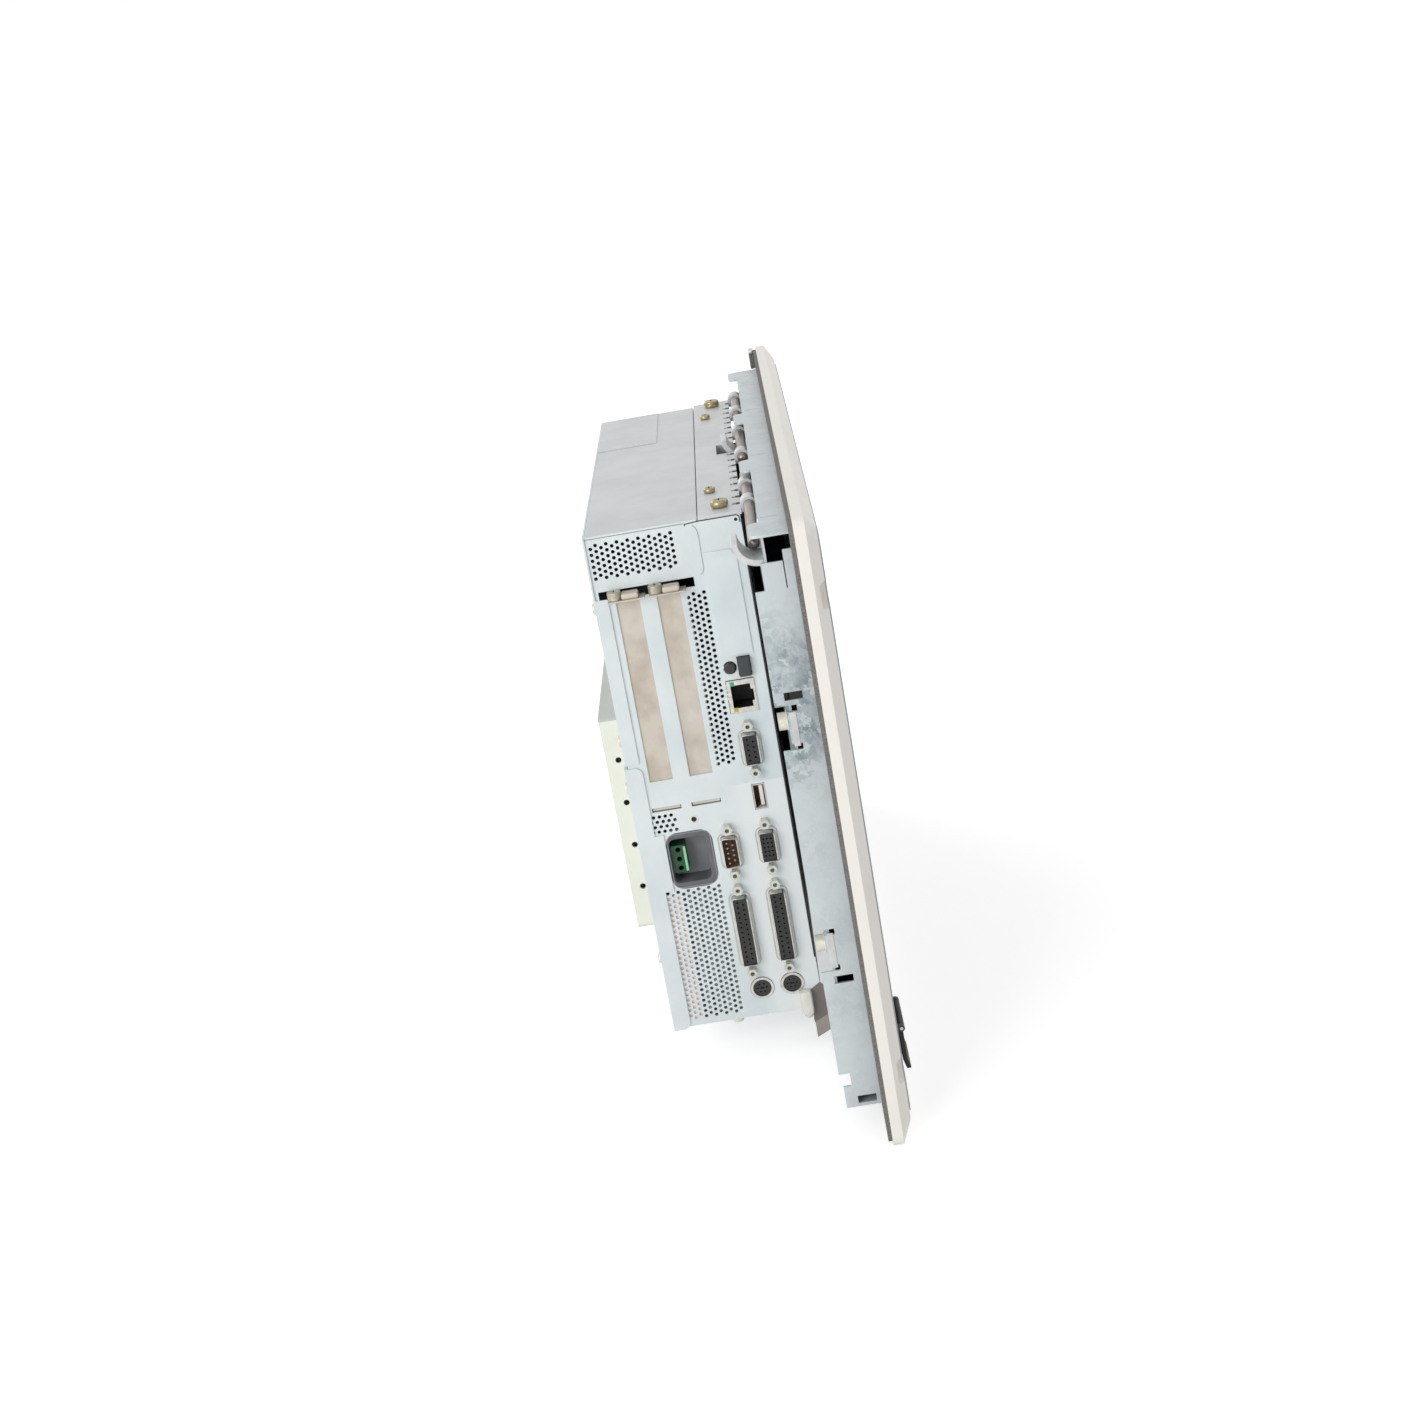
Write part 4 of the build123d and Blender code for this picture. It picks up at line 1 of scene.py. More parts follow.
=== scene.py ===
"""Dress of a panel-mounted industrial computer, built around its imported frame.

The computer has a cream operator front, a galvanised display frame behind it and a computing unit
in zinc-plated sheet that hangs from hinge rods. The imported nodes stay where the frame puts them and
get their finishes here. Pieces whose edges or heads the solids leave plain are rounded copies that
stand for their nodes, and small details are added on top. Sizes of pieces are in millimetres.
"""

from __future__ import annotations

import json
import logging
import math
from dataclasses import dataclass
from enum import Enum
from typing import Callable, Optional, Sequence, Union

import bmesh
import bpy
from mathutils import Matrix, Vector

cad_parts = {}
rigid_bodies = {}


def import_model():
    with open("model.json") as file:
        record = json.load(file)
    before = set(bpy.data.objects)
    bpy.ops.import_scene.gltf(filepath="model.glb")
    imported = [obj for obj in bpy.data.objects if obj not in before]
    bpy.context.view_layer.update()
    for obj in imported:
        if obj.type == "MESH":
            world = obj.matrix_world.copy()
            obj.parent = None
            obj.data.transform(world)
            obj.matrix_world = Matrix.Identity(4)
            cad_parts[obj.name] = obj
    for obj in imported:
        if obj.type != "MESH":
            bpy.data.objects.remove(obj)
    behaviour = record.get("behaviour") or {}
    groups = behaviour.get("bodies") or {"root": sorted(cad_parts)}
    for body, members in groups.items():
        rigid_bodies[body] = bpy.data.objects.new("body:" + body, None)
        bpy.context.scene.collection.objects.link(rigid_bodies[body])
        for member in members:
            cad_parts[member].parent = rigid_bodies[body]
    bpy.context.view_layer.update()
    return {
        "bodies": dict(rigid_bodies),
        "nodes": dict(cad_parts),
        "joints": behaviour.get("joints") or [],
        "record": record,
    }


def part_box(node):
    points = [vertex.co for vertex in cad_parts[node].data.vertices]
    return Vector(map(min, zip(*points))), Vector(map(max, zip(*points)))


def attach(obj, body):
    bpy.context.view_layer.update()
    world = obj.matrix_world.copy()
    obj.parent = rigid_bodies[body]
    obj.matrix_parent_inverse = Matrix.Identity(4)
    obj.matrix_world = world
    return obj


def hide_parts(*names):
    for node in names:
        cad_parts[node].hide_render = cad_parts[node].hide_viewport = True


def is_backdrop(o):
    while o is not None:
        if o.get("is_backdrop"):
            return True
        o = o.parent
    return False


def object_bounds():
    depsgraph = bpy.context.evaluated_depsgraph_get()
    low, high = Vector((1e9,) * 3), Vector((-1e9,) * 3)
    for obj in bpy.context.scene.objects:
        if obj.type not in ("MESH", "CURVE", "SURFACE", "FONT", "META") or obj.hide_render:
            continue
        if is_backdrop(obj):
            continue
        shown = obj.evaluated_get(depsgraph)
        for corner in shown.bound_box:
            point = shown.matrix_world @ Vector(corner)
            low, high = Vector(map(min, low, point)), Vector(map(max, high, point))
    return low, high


log = logging.getLogger("panel_computer")

MM = 0.001
WHITE = (1.0, 1.0, 1.0, 1.0)
SMOOTH_BELOW = 35.0  # degrees: faces that meet at less shade as one
SHARP_FROM = 32.0  # degrees: edges that are rounded
RIM_FROM = 60.0  # degrees: edges round the top of a screw head
FLAT_WITHIN = 1.0  # degrees: faces that are joined into one flat
WELD = 0.0005  # millimetres: corners nearer than this are one

Chooser = Optional[Callable[[Vector, Vector], int]]  # from a face's centre and normal to a finish
Mesh = bmesh.types.BMesh
Tree = bpy.types.NodeTree
Socket = bpy.types.NodeSocket
Value = Union[float, tuple, Socket]
Colour = Union[str, tuple, Socket]
Range = tuple[float, float]


def linear(code: str) -> tuple[float, float, float, float]:
    """Turns an sRGB hex code into linear colour.

    Args:
        code: Six hex digits.

    Returns:
        Red, green, blue and full opacity, as Blender's sockets take them.
    """
    channels = [int(code[place : place + 2], 16) / 255 for place in (0, 2, 4)]
    turned = [c / 12.92 if c <= 0.04045 else ((c + 0.055) / 1.055) ** 2.4 for c in channels]
    return (*turned, 1.0)


def per(size: float) -> float:
    """Gives the texture scale whose features measure size millimetres on Object coordinates."""
    return 1 / (size * MM)


def add(tree: Tree, kind: str, inputs: Optional[dict] = None, **settings: object) -> bpy.types.Node:
    """Adds one shader node with its settings and links.

    Args:
        tree: Node tree that takes the node.
        kind: Blender's name of the node type.
        inputs: Value or source socket for each input, by its name or number.
        **settings: Attributes of the node.

    Returns:
        The new node.
    """
    node = tree.nodes.new(kind)
    for name, setting in settings.items():
        setattr(node, name, setting)
    for name, value in (inputs or {}).items():
        if isinstance(value, Socket):
            tree.links.new(value, node.inputs[name])
        else:
            node.inputs[name].default_value = value
    return node


class Paint:
    """A material under way: its node tree, Principled shader and Object coordinates."""

    def __init__(self, finish: Finish) -> None:
        """Starts a material with one shader.

        Args:
            finish: The finish whose name, colour, roughness and metal share it takes.
        """
        self.finish = finish
        self.material = bpy.data.materials.new(finish.name)
        self.material.use_nodes = True
        self.material.diffuse_color = linear(finish.colour)
        self.tree = self.material.node_tree
        self.tree.nodes.clear()
        self.place = add(self.tree, "ShaderNodeTexCoord").outputs["Object"]
        inputs = {"Base Color": linear(finish.colour), "Metallic": finish.metallic}
        inputs["Roughness"] = finish.roughness
        self.shader = add(self.tree, "ShaderNodeBsdfPrincipled", inputs)
        add(self.tree, "ShaderNodeOutputMaterial", {"Surface": self.shader.outputs["BSDF"]})

    def noise(self, size: float, detail: float = 3.0) -> Socket:
        """Gives the value of a noise pattern with features of size millimetres."""
        inputs = {"Vector": self.place, "Scale": per(size), "Detail": detail, "Roughness": 0.55}
        return add(self.tree, "ShaderNodeTexNoise", inputs).outputs["Fac"]

    def cells(self, size: float, **settings: object) -> bpy.types.bpy_prop_collection:
        """Gives the outputs of a pattern of cells of size millimetres."""
        inputs = {"Vector": self.place, "Scale": per(size)}
        return add(self.tree, "ShaderNodeTexVoronoi", inputs, **settings).outputs

    def spread(self, value: Socket, source: Range, target: Range) -> Socket:
        """Maps a value from one range to another, held at both ends."""
        inputs = {"Value": value, 1: source[0], 2: source[1], 3: target[0], 4: target[1]}
        return add(self.tree, "ShaderNodeMapRange", inputs).outputs["Result"]

    def axes(self) -> bpy.types.bpy_prop_collection:
        """Gives the X, Y and Z of the Object coordinates."""
        return add(self.tree, "ShaderNodeSeparateXYZ", {"Vector": self.place}).outputs

    def mixed(self, factor: Value, first: Colour, second: Colour, mode: str = "MIX") -> Socket:
        """Mixes two colours, given as hex codes or sockets, by a factor."""
        colours = [linear(item) if isinstance(item, str) else item for item in (first, second)]
        inputs = {0: factor, 6: colours[0], 7: colours[1]}
        return add(self.tree, "ShaderNodeMix", inputs, data_type="RGBA", blend_type=mode).outputs[2]

    def result(self, operation: str, *values: Value) -> Socket:
        """Gives the result of one sum on values."""
        return add(self.tree, "ShaderNodeMath", dict(enumerate(values)), operation=operation).outputs[0]

    def link(self, name: str, value: Socket) -> None:
        """Links a value to one input of the shader."""
        self.tree.links.new(value, self.shader.inputs[name])

    def tint(self, factor: Socket) -> None:
        """Links the base colour to the finish's colour and shade, mixed by a factor."""
        self.link("Base Color", self.mixed(factor, self.finish.colour, self.finish.shade))

    def gloss(self, value: Socket, source: Range, less: float, more: float) -> None:
        """Lets the roughness drift with a value.

        Args:
            value: What drives it.
            source: The value's range.
            less: What the low end takes off the finish's roughness.
            more: What the high end adds to it.
        """
        rough = self.finish.roughness
        self.link("Roughness", self.spread(value, source, (rough - less, rough + more)))

    def relief(self, height: Socket, depth: float, strength: float) -> None:
        """Links a bump of depth millimetres to the shader."""
        inputs = {"Height": height, "Distance": depth * MM, "Strength": strength}
        self.link("Normal", add(self.tree, "ShaderNodeBump", inputs).outputs["Normal"])


@dataclass(frozen=True)
class Finish:
    """What every finish states: its name, main colour, roughness, how metallic it is and a second tone."""

    name: str
    colour: str
    roughness: float
    metallic: float = 0.0
    shade: str = ""

    def material(self) -> bpy.types.Material:
        """Builds the finish's material.

        Returns:
            A material with a Principled shader that this finish has worked on.
        """
        paint = Paint(self)
        self.work(paint)
        return paint.material

    def work(self, paint: Paint) -> None:
        """Adds the finish's pattern.

        Args:
            paint: The material under way.
        """
        raise NotImplementedError


@dataclass(frozen=True)
class PlatedSheet(Finish):
    """Cold-rolled steel with bright zinc plating: soft clouds of a second tone, fine grain, satin.

    With a colour for it, a paler field lies below label_z and ahead of label_y and fades at its rim.
    """

    cloud: float = 34.0
    spot: float = 4.5
    spotted: float = 0.25
    grain: float = 1.1  # drawn coarser than the real grain of about 0.2 mm, so that it shows
    label: str = ""
    label_y: float = 0.0
    label_z: float = 0.0
    label_fade: Range = (9.0, 0.4)

    def work(self, paint: Paint) -> None:
        """Lays clouds, small water spots and rolled grain over the plating."""
        clouds = paint.spread(paint.noise(self.cloud, 5.0), (0.38, 0.66), (0.0, 1.0))
        spots = paint.spread(paint.noise(self.spot, 4.0), (0.60, 0.72), (0.0, self.spotted))
        base = paint.mixed(spots, paint.mixed(clouds, self.colour, self.shade), self.shade)
        if self.label:
            axes = paint.axes()
            starts = (self.label_y - self.label_fade[0]) * MM, (self.label_z - self.label_fade[1]) * MM
            ahead = paint.spread(axes["Y"], (starts[0], self.label_y * MM), (0.8, 0.0))
            under = paint.spread(axes["Z"], (starts[1], self.label_z * MM), (1.0, 0.0))
            base = paint.mixed(paint.result("MULTIPLY", ahead, under), base, self.label)
        paint.link("Base Color", base)
        fine = paint.noise(self.grain, 2.0)
        paint.gloss(fine, (0.3, 0.7), 0.05, 0.09)
        paint.relief(fine, 0.02, 0.5)


@dataclass(frozen=True)
class SpangledSheet(Finish):
    """Hot-dip galvanised sheet: crystals a few millimetres wide, each with its own tone and gloss.

    The crystals stand out most between two heights and fade away from them.
    """

    crystal: float = 5.5
    ripple: float = 3.0
    patch: float = 26.0
    grain: float = 1.4
    strength: float = 0.8
    low: float = 0.0
    high: float = 0.0
    fade: float = 25.0
    faint: float = 1.0

    def work(self, paint: Paint) -> None:
        """Breaks the plate into crystals whose edges wander."""
        inputs = {"Vector": paint.place, "Scale": per(self.ripple), "Detail": 4.0}
        wander = add(paint.tree, "ShaderNodeTexNoise", inputs).outputs["Color"]
        bent = paint.mixed(0.012, paint.place, wander, "ADD")
        inputs = {"Vector": bent, "Scale": per(self.crystal), "Detail": 1.0}
        cells = add(paint.tree, "ShaderNodeTexVoronoi", inputs).outputs["Color"]
        tone = add(paint.tree, "ShaderNodeSeparateColor", {"Color": cells}).outputs
        large = paint.spread(paint.noise(self.patch, 4.0), (0.4, 0.62), (0.15, self.strength))
        factor = paint.result("MULTIPLY", tone["Red"], large)
        middle, reach = (self.low + self.high) / 2, (self.high - self.low) / 2
        away = paint.result("ABSOLUTE", paint.result("ADD", paint.axes()["Z"], -middle * MM))
        kept = paint.spread(away, (reach * MM, (reach + self.fade) * MM), (1.0, self.faint))
        factor = paint.result("MULTIPLY", factor, kept)
        paint.tint(factor)
        paint.gloss(tone["Green"], (0.0, 1.0), 0.08, 0.12)
        paint.relief(paint.noise(self.grain), 0.03, 0.5)


@dataclass(frozen=True)
class PowderCoat(Finish):
    """Baked powder paint: even colour, faint handling marks and orange peel."""

    mark: float = 48.0
    peel: float = 1.5

    def work(self, paint: Paint) -> None:
        """Lays handling marks and orange peel over the paint."""
        marks = paint.spread(paint.noise(self.mark, 6.0), (0.52, 0.75), (0.0, 0.55))
        paint.tint(marks)
        peel = paint.noise(self.peel, 1.0)
        paint.gloss(marks, (0.0, 0.55), 0.0, 0.12)
        paint.relief(peel, 0.05, 0.6)


@dataclass(frozen=True)
class Moulding(Finish):
    """Injection-moulded plastic: spark-eroded grain and slightly polished patches."""

    patch: float = 9.0
    grain: float = 0.6  # drawn about twice as wide as the real grain, so that it shows
    depth: float = 0.03

    def work(self, paint: Paint) -> None:
        """Adds the mould's grain, uneven gloss and a lighter tone in patches."""
        patches = paint.noise(self.patch, 4.0)
        lighter = [min(1.0, channel * 1.35 + 0.012) for channel in linear(self.colour)[:3]]
        factor = paint.spread(patches, (0.45, 0.75), (0.0, 0.5))
        paint.link("Base Color", paint.mixed(factor, self.colour, (*lighter, 1.0)))
        paint.gloss(patches, (0.35, 0.65), 0.0, 0.12)
        paint.relief(paint.noise(self.grain, 2.0), self.depth, 0.6)


@dataclass(frozen=True)
class CellFoam(Finish):
    """Closed-cell sealing foam: dull, with cells under a millimetre wide."""

    cell: float = 0.9

    def work(self, paint: Paint) -> None:
        """Adds the cells as pits of a second tone."""
        cells = paint.cells(self.cell)["Distance"]
        factor = paint.spread(cells, (0.1, 0.6), (0.0, 1.0))
        paint.tint(factor)
        paint.relief(cells, 0.15, 0.8)


@dataclass(frozen=True)
class TurnedMetal(Finish):
    """Small turned or drawn metal part: passivation film that shifts in tone, fine tool marks."""

    film: float = 2.6
    tooling: float = 0.35  # drawn coarser than real tool marks of about 0.1 mm, so that they show

    def work(self, paint: Paint) -> None:
        """Adds the film's drift in tone and the tool marks."""
        film = paint.spread(paint.noise(self.film), (0.35, 0.7), (0.0, 1.0))
        paint.tint(film)
        marks = paint.noise(self.tooling, 2.0)
        paint.gloss(marks, (0.3, 0.7), 0.06, 0.1)
        paint.relief(marks, 0.015, 0.5)


@dataclass(frozen=True)
class BrushedSheet(Finish):
    """Rolled sheet with drawn lines along one axis and a blotchy passivation film."""

    blotch: float = 15.0
    stain: float = 38.0
    stain_colour: str = "DAD5CF"
    line: tuple = (40.0, 40.0, 1.0)  # how many times finer the lines are along X, Y and Z
    line_length: float = 125 / 3  # with the factor 40, lines 1 mm wide, coarser than real ones of 0.1 mm

    def work(self, paint: Paint) -> None:
        """Adds blotches over the film and lines along the rolling direction."""
        blotch = paint.spread(paint.noise(self.blotch, 5.0), (0.42, 0.66), (0.0, 1.0))
        stains = paint.spread(paint.noise(self.stain), (0.5, 0.7), (0.0, 0.4))
        base = paint.mixed(blotch, self.colour, self.shade)
        paint.link("Base Color", paint.mixed(stains, base, self.stain_colour))
        mapping = add(paint.tree, "ShaderNodeMapping", {"Vector": paint.place, "Scale": self.line})
        inputs = {"Vector": mapping.outputs["Vector"], "Scale": per(self.line_length), "Detail": 3.0}
        lines = add(paint.tree, "ShaderNodeTexNoise", inputs).outputs["Fac"]
        paint.gloss(lines, (0.3, 0.7), 0.06, 0.1)
        paint.relief(lines, 0.01, 0.5)


@dataclass(frozen=True)
class CircuitLaminate(Finish):
    """Glass-fibre laminate under solder mask: tracks that show through, tinned pads."""

    cell: float = 4.0  # drawn coarser than real tracks, which lie about 1 mm apart
    track: str = "2F6B45"
    pad: str = "C9C7BC"

    def work(self, paint: Paint) -> None:
        """Draws tracks between cells and a tinned pad in each."""
        away = paint.cells(self.cell, distance="MANHATTAN")["Distance"]
        tracks = paint.spread(away, (0.42, 0.46), (0.0, 1.0))
        pads = paint.spread(away, (0.10, 0.14), (1.0, 0.0))
        paint.link("Base Color", paint.mixed(pads, paint.mixed(tracks, self.colour, self.track), self.pad))
        paint.relief(tracks, 0.04, 0.6)


@dataclass(frozen=True)
class ScreenGlass(Finish):
    """Coated window over a display that is off: dark, smooth, with faint wiped smears."""

    smear: float = 60.0

    def work(self, paint: Paint) -> None:
        """Adds the smears and a clear coat."""
        smears = paint.noise(self.smear, 5.0)
        paint.tint(smears)
        paint.gloss(smears, (0.35, 0.7), 0.0, 0.1)
        paint.shader.inputs["Coat Weight"].default_value = 0.6
        paint.shader.inputs["Coat Roughness"].default_value = 0.06


class Coat(Enum):
    """Finishes of the computer, each with what it gives the eye."""

    # Bright zinc on sheet: cool, nearly white and satin, with soft clouds
    CASE_ZINC = PlatedSheet("bright_zinc_plated_sheet", "DFE6E7", 0.46, 0.15, shade="D3DCDE")
    # The same zinc under a label: a flatter, paler field round the lower sockets
    PORT_ZINC = PlatedSheet(
        "bright_zinc_with_port_label", "DFE6E7", 0.46, 0.15, "D3DCDE", label="E7EAEA",
        label_y=53.0, label_z=-4.0,
    )
    # Roof sheet: greyer than the sides, partly a greyer sheet and partly painted shade for faces that look
    # up, with smaller clouds
    TOP_ZINC_SHADED = PlatedSheet("zinc_top_sheet_painted_shade", "D2D4D5", 0.45, 0.25, "C8CBCD", cloud=24.0, spotted=0.15)
    # Folded bracket: neutral light grey, a little glossier
    BRACKET_ZINC = PlatedSheet("zinc_plated_bracket", "D4D5D6", 0.42, 0.25, "C8CACC", cloud=18.0)
    # Sheet inside the case: darker, because more of it mirrors the dim inside
    INNER_ZINC = PlatedSheet("zinc_plated_inner_sheet", "C2C8CA", 0.46, 0.5, "ADB4B6")
    # Hot-dip zinc: blue-grey spangle that is strong in the upper part of the ring
    GALVANISED = SpangledSheet(
        "hot_dip_galvanised_sheet", "D2DADC", 0.42, 0.25, "84939A", strength=0.95,
        low=46.0, high=100.0, faint=0.2,
    )
    # The plate behind the ring: faint spangle, darker
    GALVANISED_PLATE = SpangledSheet("galvanised_back_plate", "C3C9CB", 0.46, 0.5, "A9B0B3")
    # Bent hooks and tabs: brighter and glossier than the ring
    HOOK_ZINC = PlatedSheet("zinc_plated_hook", "DADCDB", 0.36, 0.3, "C4C6C6", cloud=9.0)
    # Operator front: warm cream with a soft, even gloss
    BEZEL = PowderCoat("cream_powder_coat", "F3EFE8", 0.48, shade="EBE6DF")
    # Rear box: ivory paint with a green-yellow cast beside the cool zinc; the cast is partly a painted warm
    # reflection
    COVER = PowderCoat("ivory_powder_coat", "EBECDF", 0.5, shade="E2E2D4")
    # The box's upper faces: the same paint, greyed as painted shade for their weaker light
    COVER_TOP_SHADE = PowderCoat("ivory_coat_painted_top_shade", "C2C3BE", 0.5, shade="B8B9B4")
    # Sealing foam: dull dark grey that takes no highlight
    GASKET = CellFoam("closed_cell_foam", "5B5955", 0.92, shade="7C7A76")
    # Passivated blanks: warm grey with drawn lines
    BLANK = BrushedSheet("passivated_slot_blank", "CDC4B7", 0.40, 0.25, "BAAFA1")
    # Copper-toned rail: a pink strip behind the vents
    RAIL = BrushedSheet("copper_toned_rail", "F8DDD2", 0.45, 0.0, "F2CFC2")
    # Nickel: the brightest metal here, with clear reflections on the socket shells
    BRIGHT = TurnedMetal("nickel_plated_shell", "D5D3CD", 0.28, 0.8, "B9B6AF")
    # Yellow passivation: olive-gold screws
    BRASS = TurnedMetal("yellow_passivated_screw", "B5A985", 0.30, 0.7, "958863")
    # Worn passivation: screws between gold and grey
    DULL_SCREW = TurnedMetal("dull_passivated_screw", "BFBAA9", 0.32, 0.5, "A39D8B")
    # Clear passivation: pale screws with a yellow breath
    PALE_SCREW = TurnedMetal("pale_passivated_screw", "E4E3D6", 0.34, 0.4, "CFCDBB")
    # Drawn steel: dark brown-grey rods with a long highlight; their brown is partly a painted dark reflection
    ROD = TurnedMetal("drawn_steel_rod", "9A8F86", 0.3, 0.75, "857970")
    # Plated jack screws: light grey hexagons beside the sockets
    JACK = TurnedMetal("plated_jack_screw", "D6D6CC", 0.36, 0.35, "C4C4B8")
    # Gold flash: tan pins in the dark insert
    PIN = TurnedMetal("gold_flashed_pin", "A98F6C", 0.32, 0.6, "8E7858")
    # Rolled tab of a blank: warm and light
    TAB = BrushedSheet("rolled_slot_tab", "CFC5B6", 0.42, 0.2, "C1B6A6")
    # Painted shade on the tab's underside and in its pressed groove: darker brown-grey
    TAB_SHADE = BrushedSheet("tab_painted_shade", "A99E8F", 0.45, 0.2, "978C7E")
    # Pressed fold: a soft darker line in the bright side, painted shade along the fold
    FOLD = PlatedSheet("zinc_fold_painted_shade", "B4BDBE", 0.45, 0.2, "A8B1B3", cloud=9.0)
    # Edges of the cover sheets: dark grey lines, painted shade along them
    SHEET_EDGE = PlatedSheet("zinc_sheet_edge_painted_shade", "989C9D", 0.5, 0.3, "8A8E90", cloud=9.0)
    # Tinned steel: the flange's pale pressed edge
    FLANGE = TurnedMetal("tinned_flange_edge", "C6C5BF", 0.38, 0.2, "B2B1AB")
    # Glass-filled plastic: matt near-black inserts
    INSERT = Moulding("glass_filled_insert", "232322", 0.5)
    # Inserts of the round sockets: a touch lighter
    ROUND_INSERT = Moulding("dark_round_insert", "272727", 0.5)
    # Insert behind the pins: dark red-brown
    INSERT_BROWN = Moulding("brown_insert", "3A271F", 0.45)
    # Deep openings, gaps and seams: almost black, so that they read as shadow
    INSERT_BLACK = Moulding("black_socket_inside", "141311", 0.55)
    # Inside of the upright socket: brown in the light that falls in
    USB_INSIDE = Moulding("brown_socket_inside", "8A6F60", 0.5)
    # Its tongue: off-white
    TONGUE = Moulding("pale_socket_tongue", "E6E3DC", 0.4)
    # Light pipes that are off: clear tinted plastic, glossy green and yellow
    LAMP_GREEN = Moulding("green_light_pipe", "3FA27E", 0.25)
    LAMP_YELLOW = Moulding("yellow_light_pipe", "B8A83C", 0.25)
    # Inlet housing: mid-grey with a coarse grain
    RECESS = Moulding("grey_inlet_housing", "606165", 0.5, grain=0.9)
    # Floor of its well: paler, as it faces the light
    WELL = Moulding("pale_well_floor", "84868A", 0.5, grain=0.9)
    # Terminal: deep green, fairly glossy
    TERMINAL = Moulding("green_terminal_housing", "0C4626", 0.32)
    # Its lit edge: the thin plastic lets light through and turns mint
    TERMINAL_EDGE = Moulding("pale_green_terminal_edge", "8FD9A4", 0.3)
    # Painted highlight round the inlet's rim: a light grey line
    RIM = Moulding("housing_rim_painted_highlight", "8D8E92", 0.42, grain=0.9)
    # Cable sheath: matt black
    CABLE = Moulding("black_cable_sheath", "1D1C1B", 0.6)
    # Rubber flap: warm black without gloss
    FLAP = Moulding("black_flap_rubber", "2E2B29", 0.6)
    # Surround of the service port: dark grey, lighter than the flap
    SURROUND = Moulding("dark_port_surround", "3B3A39", 0.5)
    # Push buttons: blue-black with a soft highlight
    BUTTON = Moulding("dark_push_button", "363A3D", 0.38)
    # Reset button: polished, with a sharp highlight
    RESET = Moulding("glossy_reset_button", "292C2E", 0.22)
    # Post: cream plastic on the zinc
    POST = Moulding("cream_post", "E2DED3", 0.45)
    # Tag foils: brown-grey inner flap and a paler outer one
    TAG = Moulding("grey_tag_foil", "746C67", 0.4, grain=0.4)
    TAG_LOWER = Moulding("pale_tag_foil", "9B928C", 0.4, grain=0.4)
    # Drive cases: plain steel grey with clear reflections
    DRIVE = PlatedSheet("drive_case_steel", "B9BCBE", 0.38, 0.6, "A4A8AA", cloud=14.0)
    # Anodised aluminium: even silver-grey fins
    SINK = BrushedSheet("anodised_sink", "A9ABAE", 0.42, 0.7, "9B9DA0")
    # Drive fronts: dark blue-grey plastic
    DRIVE_FACE = Moulding("drive_face_plastic", "24262A", 0.5)
    # Fan: black plastic
    BLACK = Moulding("black_moulding", "1E1F21", 0.5)
    # Display module's tin frame: cool and bright
    LCD = PlatedSheet("tinned_display_frame", "BFC3C4", 0.4, 0.7, "AAAEB0")
    # Boards: deep green with lighter tracks and tin dots
    CIRCUIT = CircuitLaminate("solder_masked_board", "1F5A38", 0.35)
    # Key foil: cool mid-grey, finely textured
    FOIL = PowderCoat("printed_key_foil", "A9AEB3", 0.5, shade="A0A5AA", peel=0.8)
    # Keys: cream fields that stand out from the foil
    KEY = PowderCoat("raised_key_foil", "E4E1DA", 0.46, shade="D9D6CE", peel=0.8)
    # Function keys: slate fields below the window
    FUNCTION_KEY = PowderCoat("function_key_foil", "7E868D", 0.46, shade="767E85", peel=0.8)
    # Printed numbers: blue-black ink
    PRINT = PowderCoat("key_print", "2A2E33", 0.5, shade="33373C", peel=0.8)
    # Window over the display that is off: dark, with sharp reflections
    SCREEN = ScreenGlass("display_window", "14181B", 0.08, shade="20262A")
    # Print under the window's rim: deeper black, softer reflections
    BORDER = ScreenGlass("window_border", "090A0B", 0.2, shade="0D0E10")


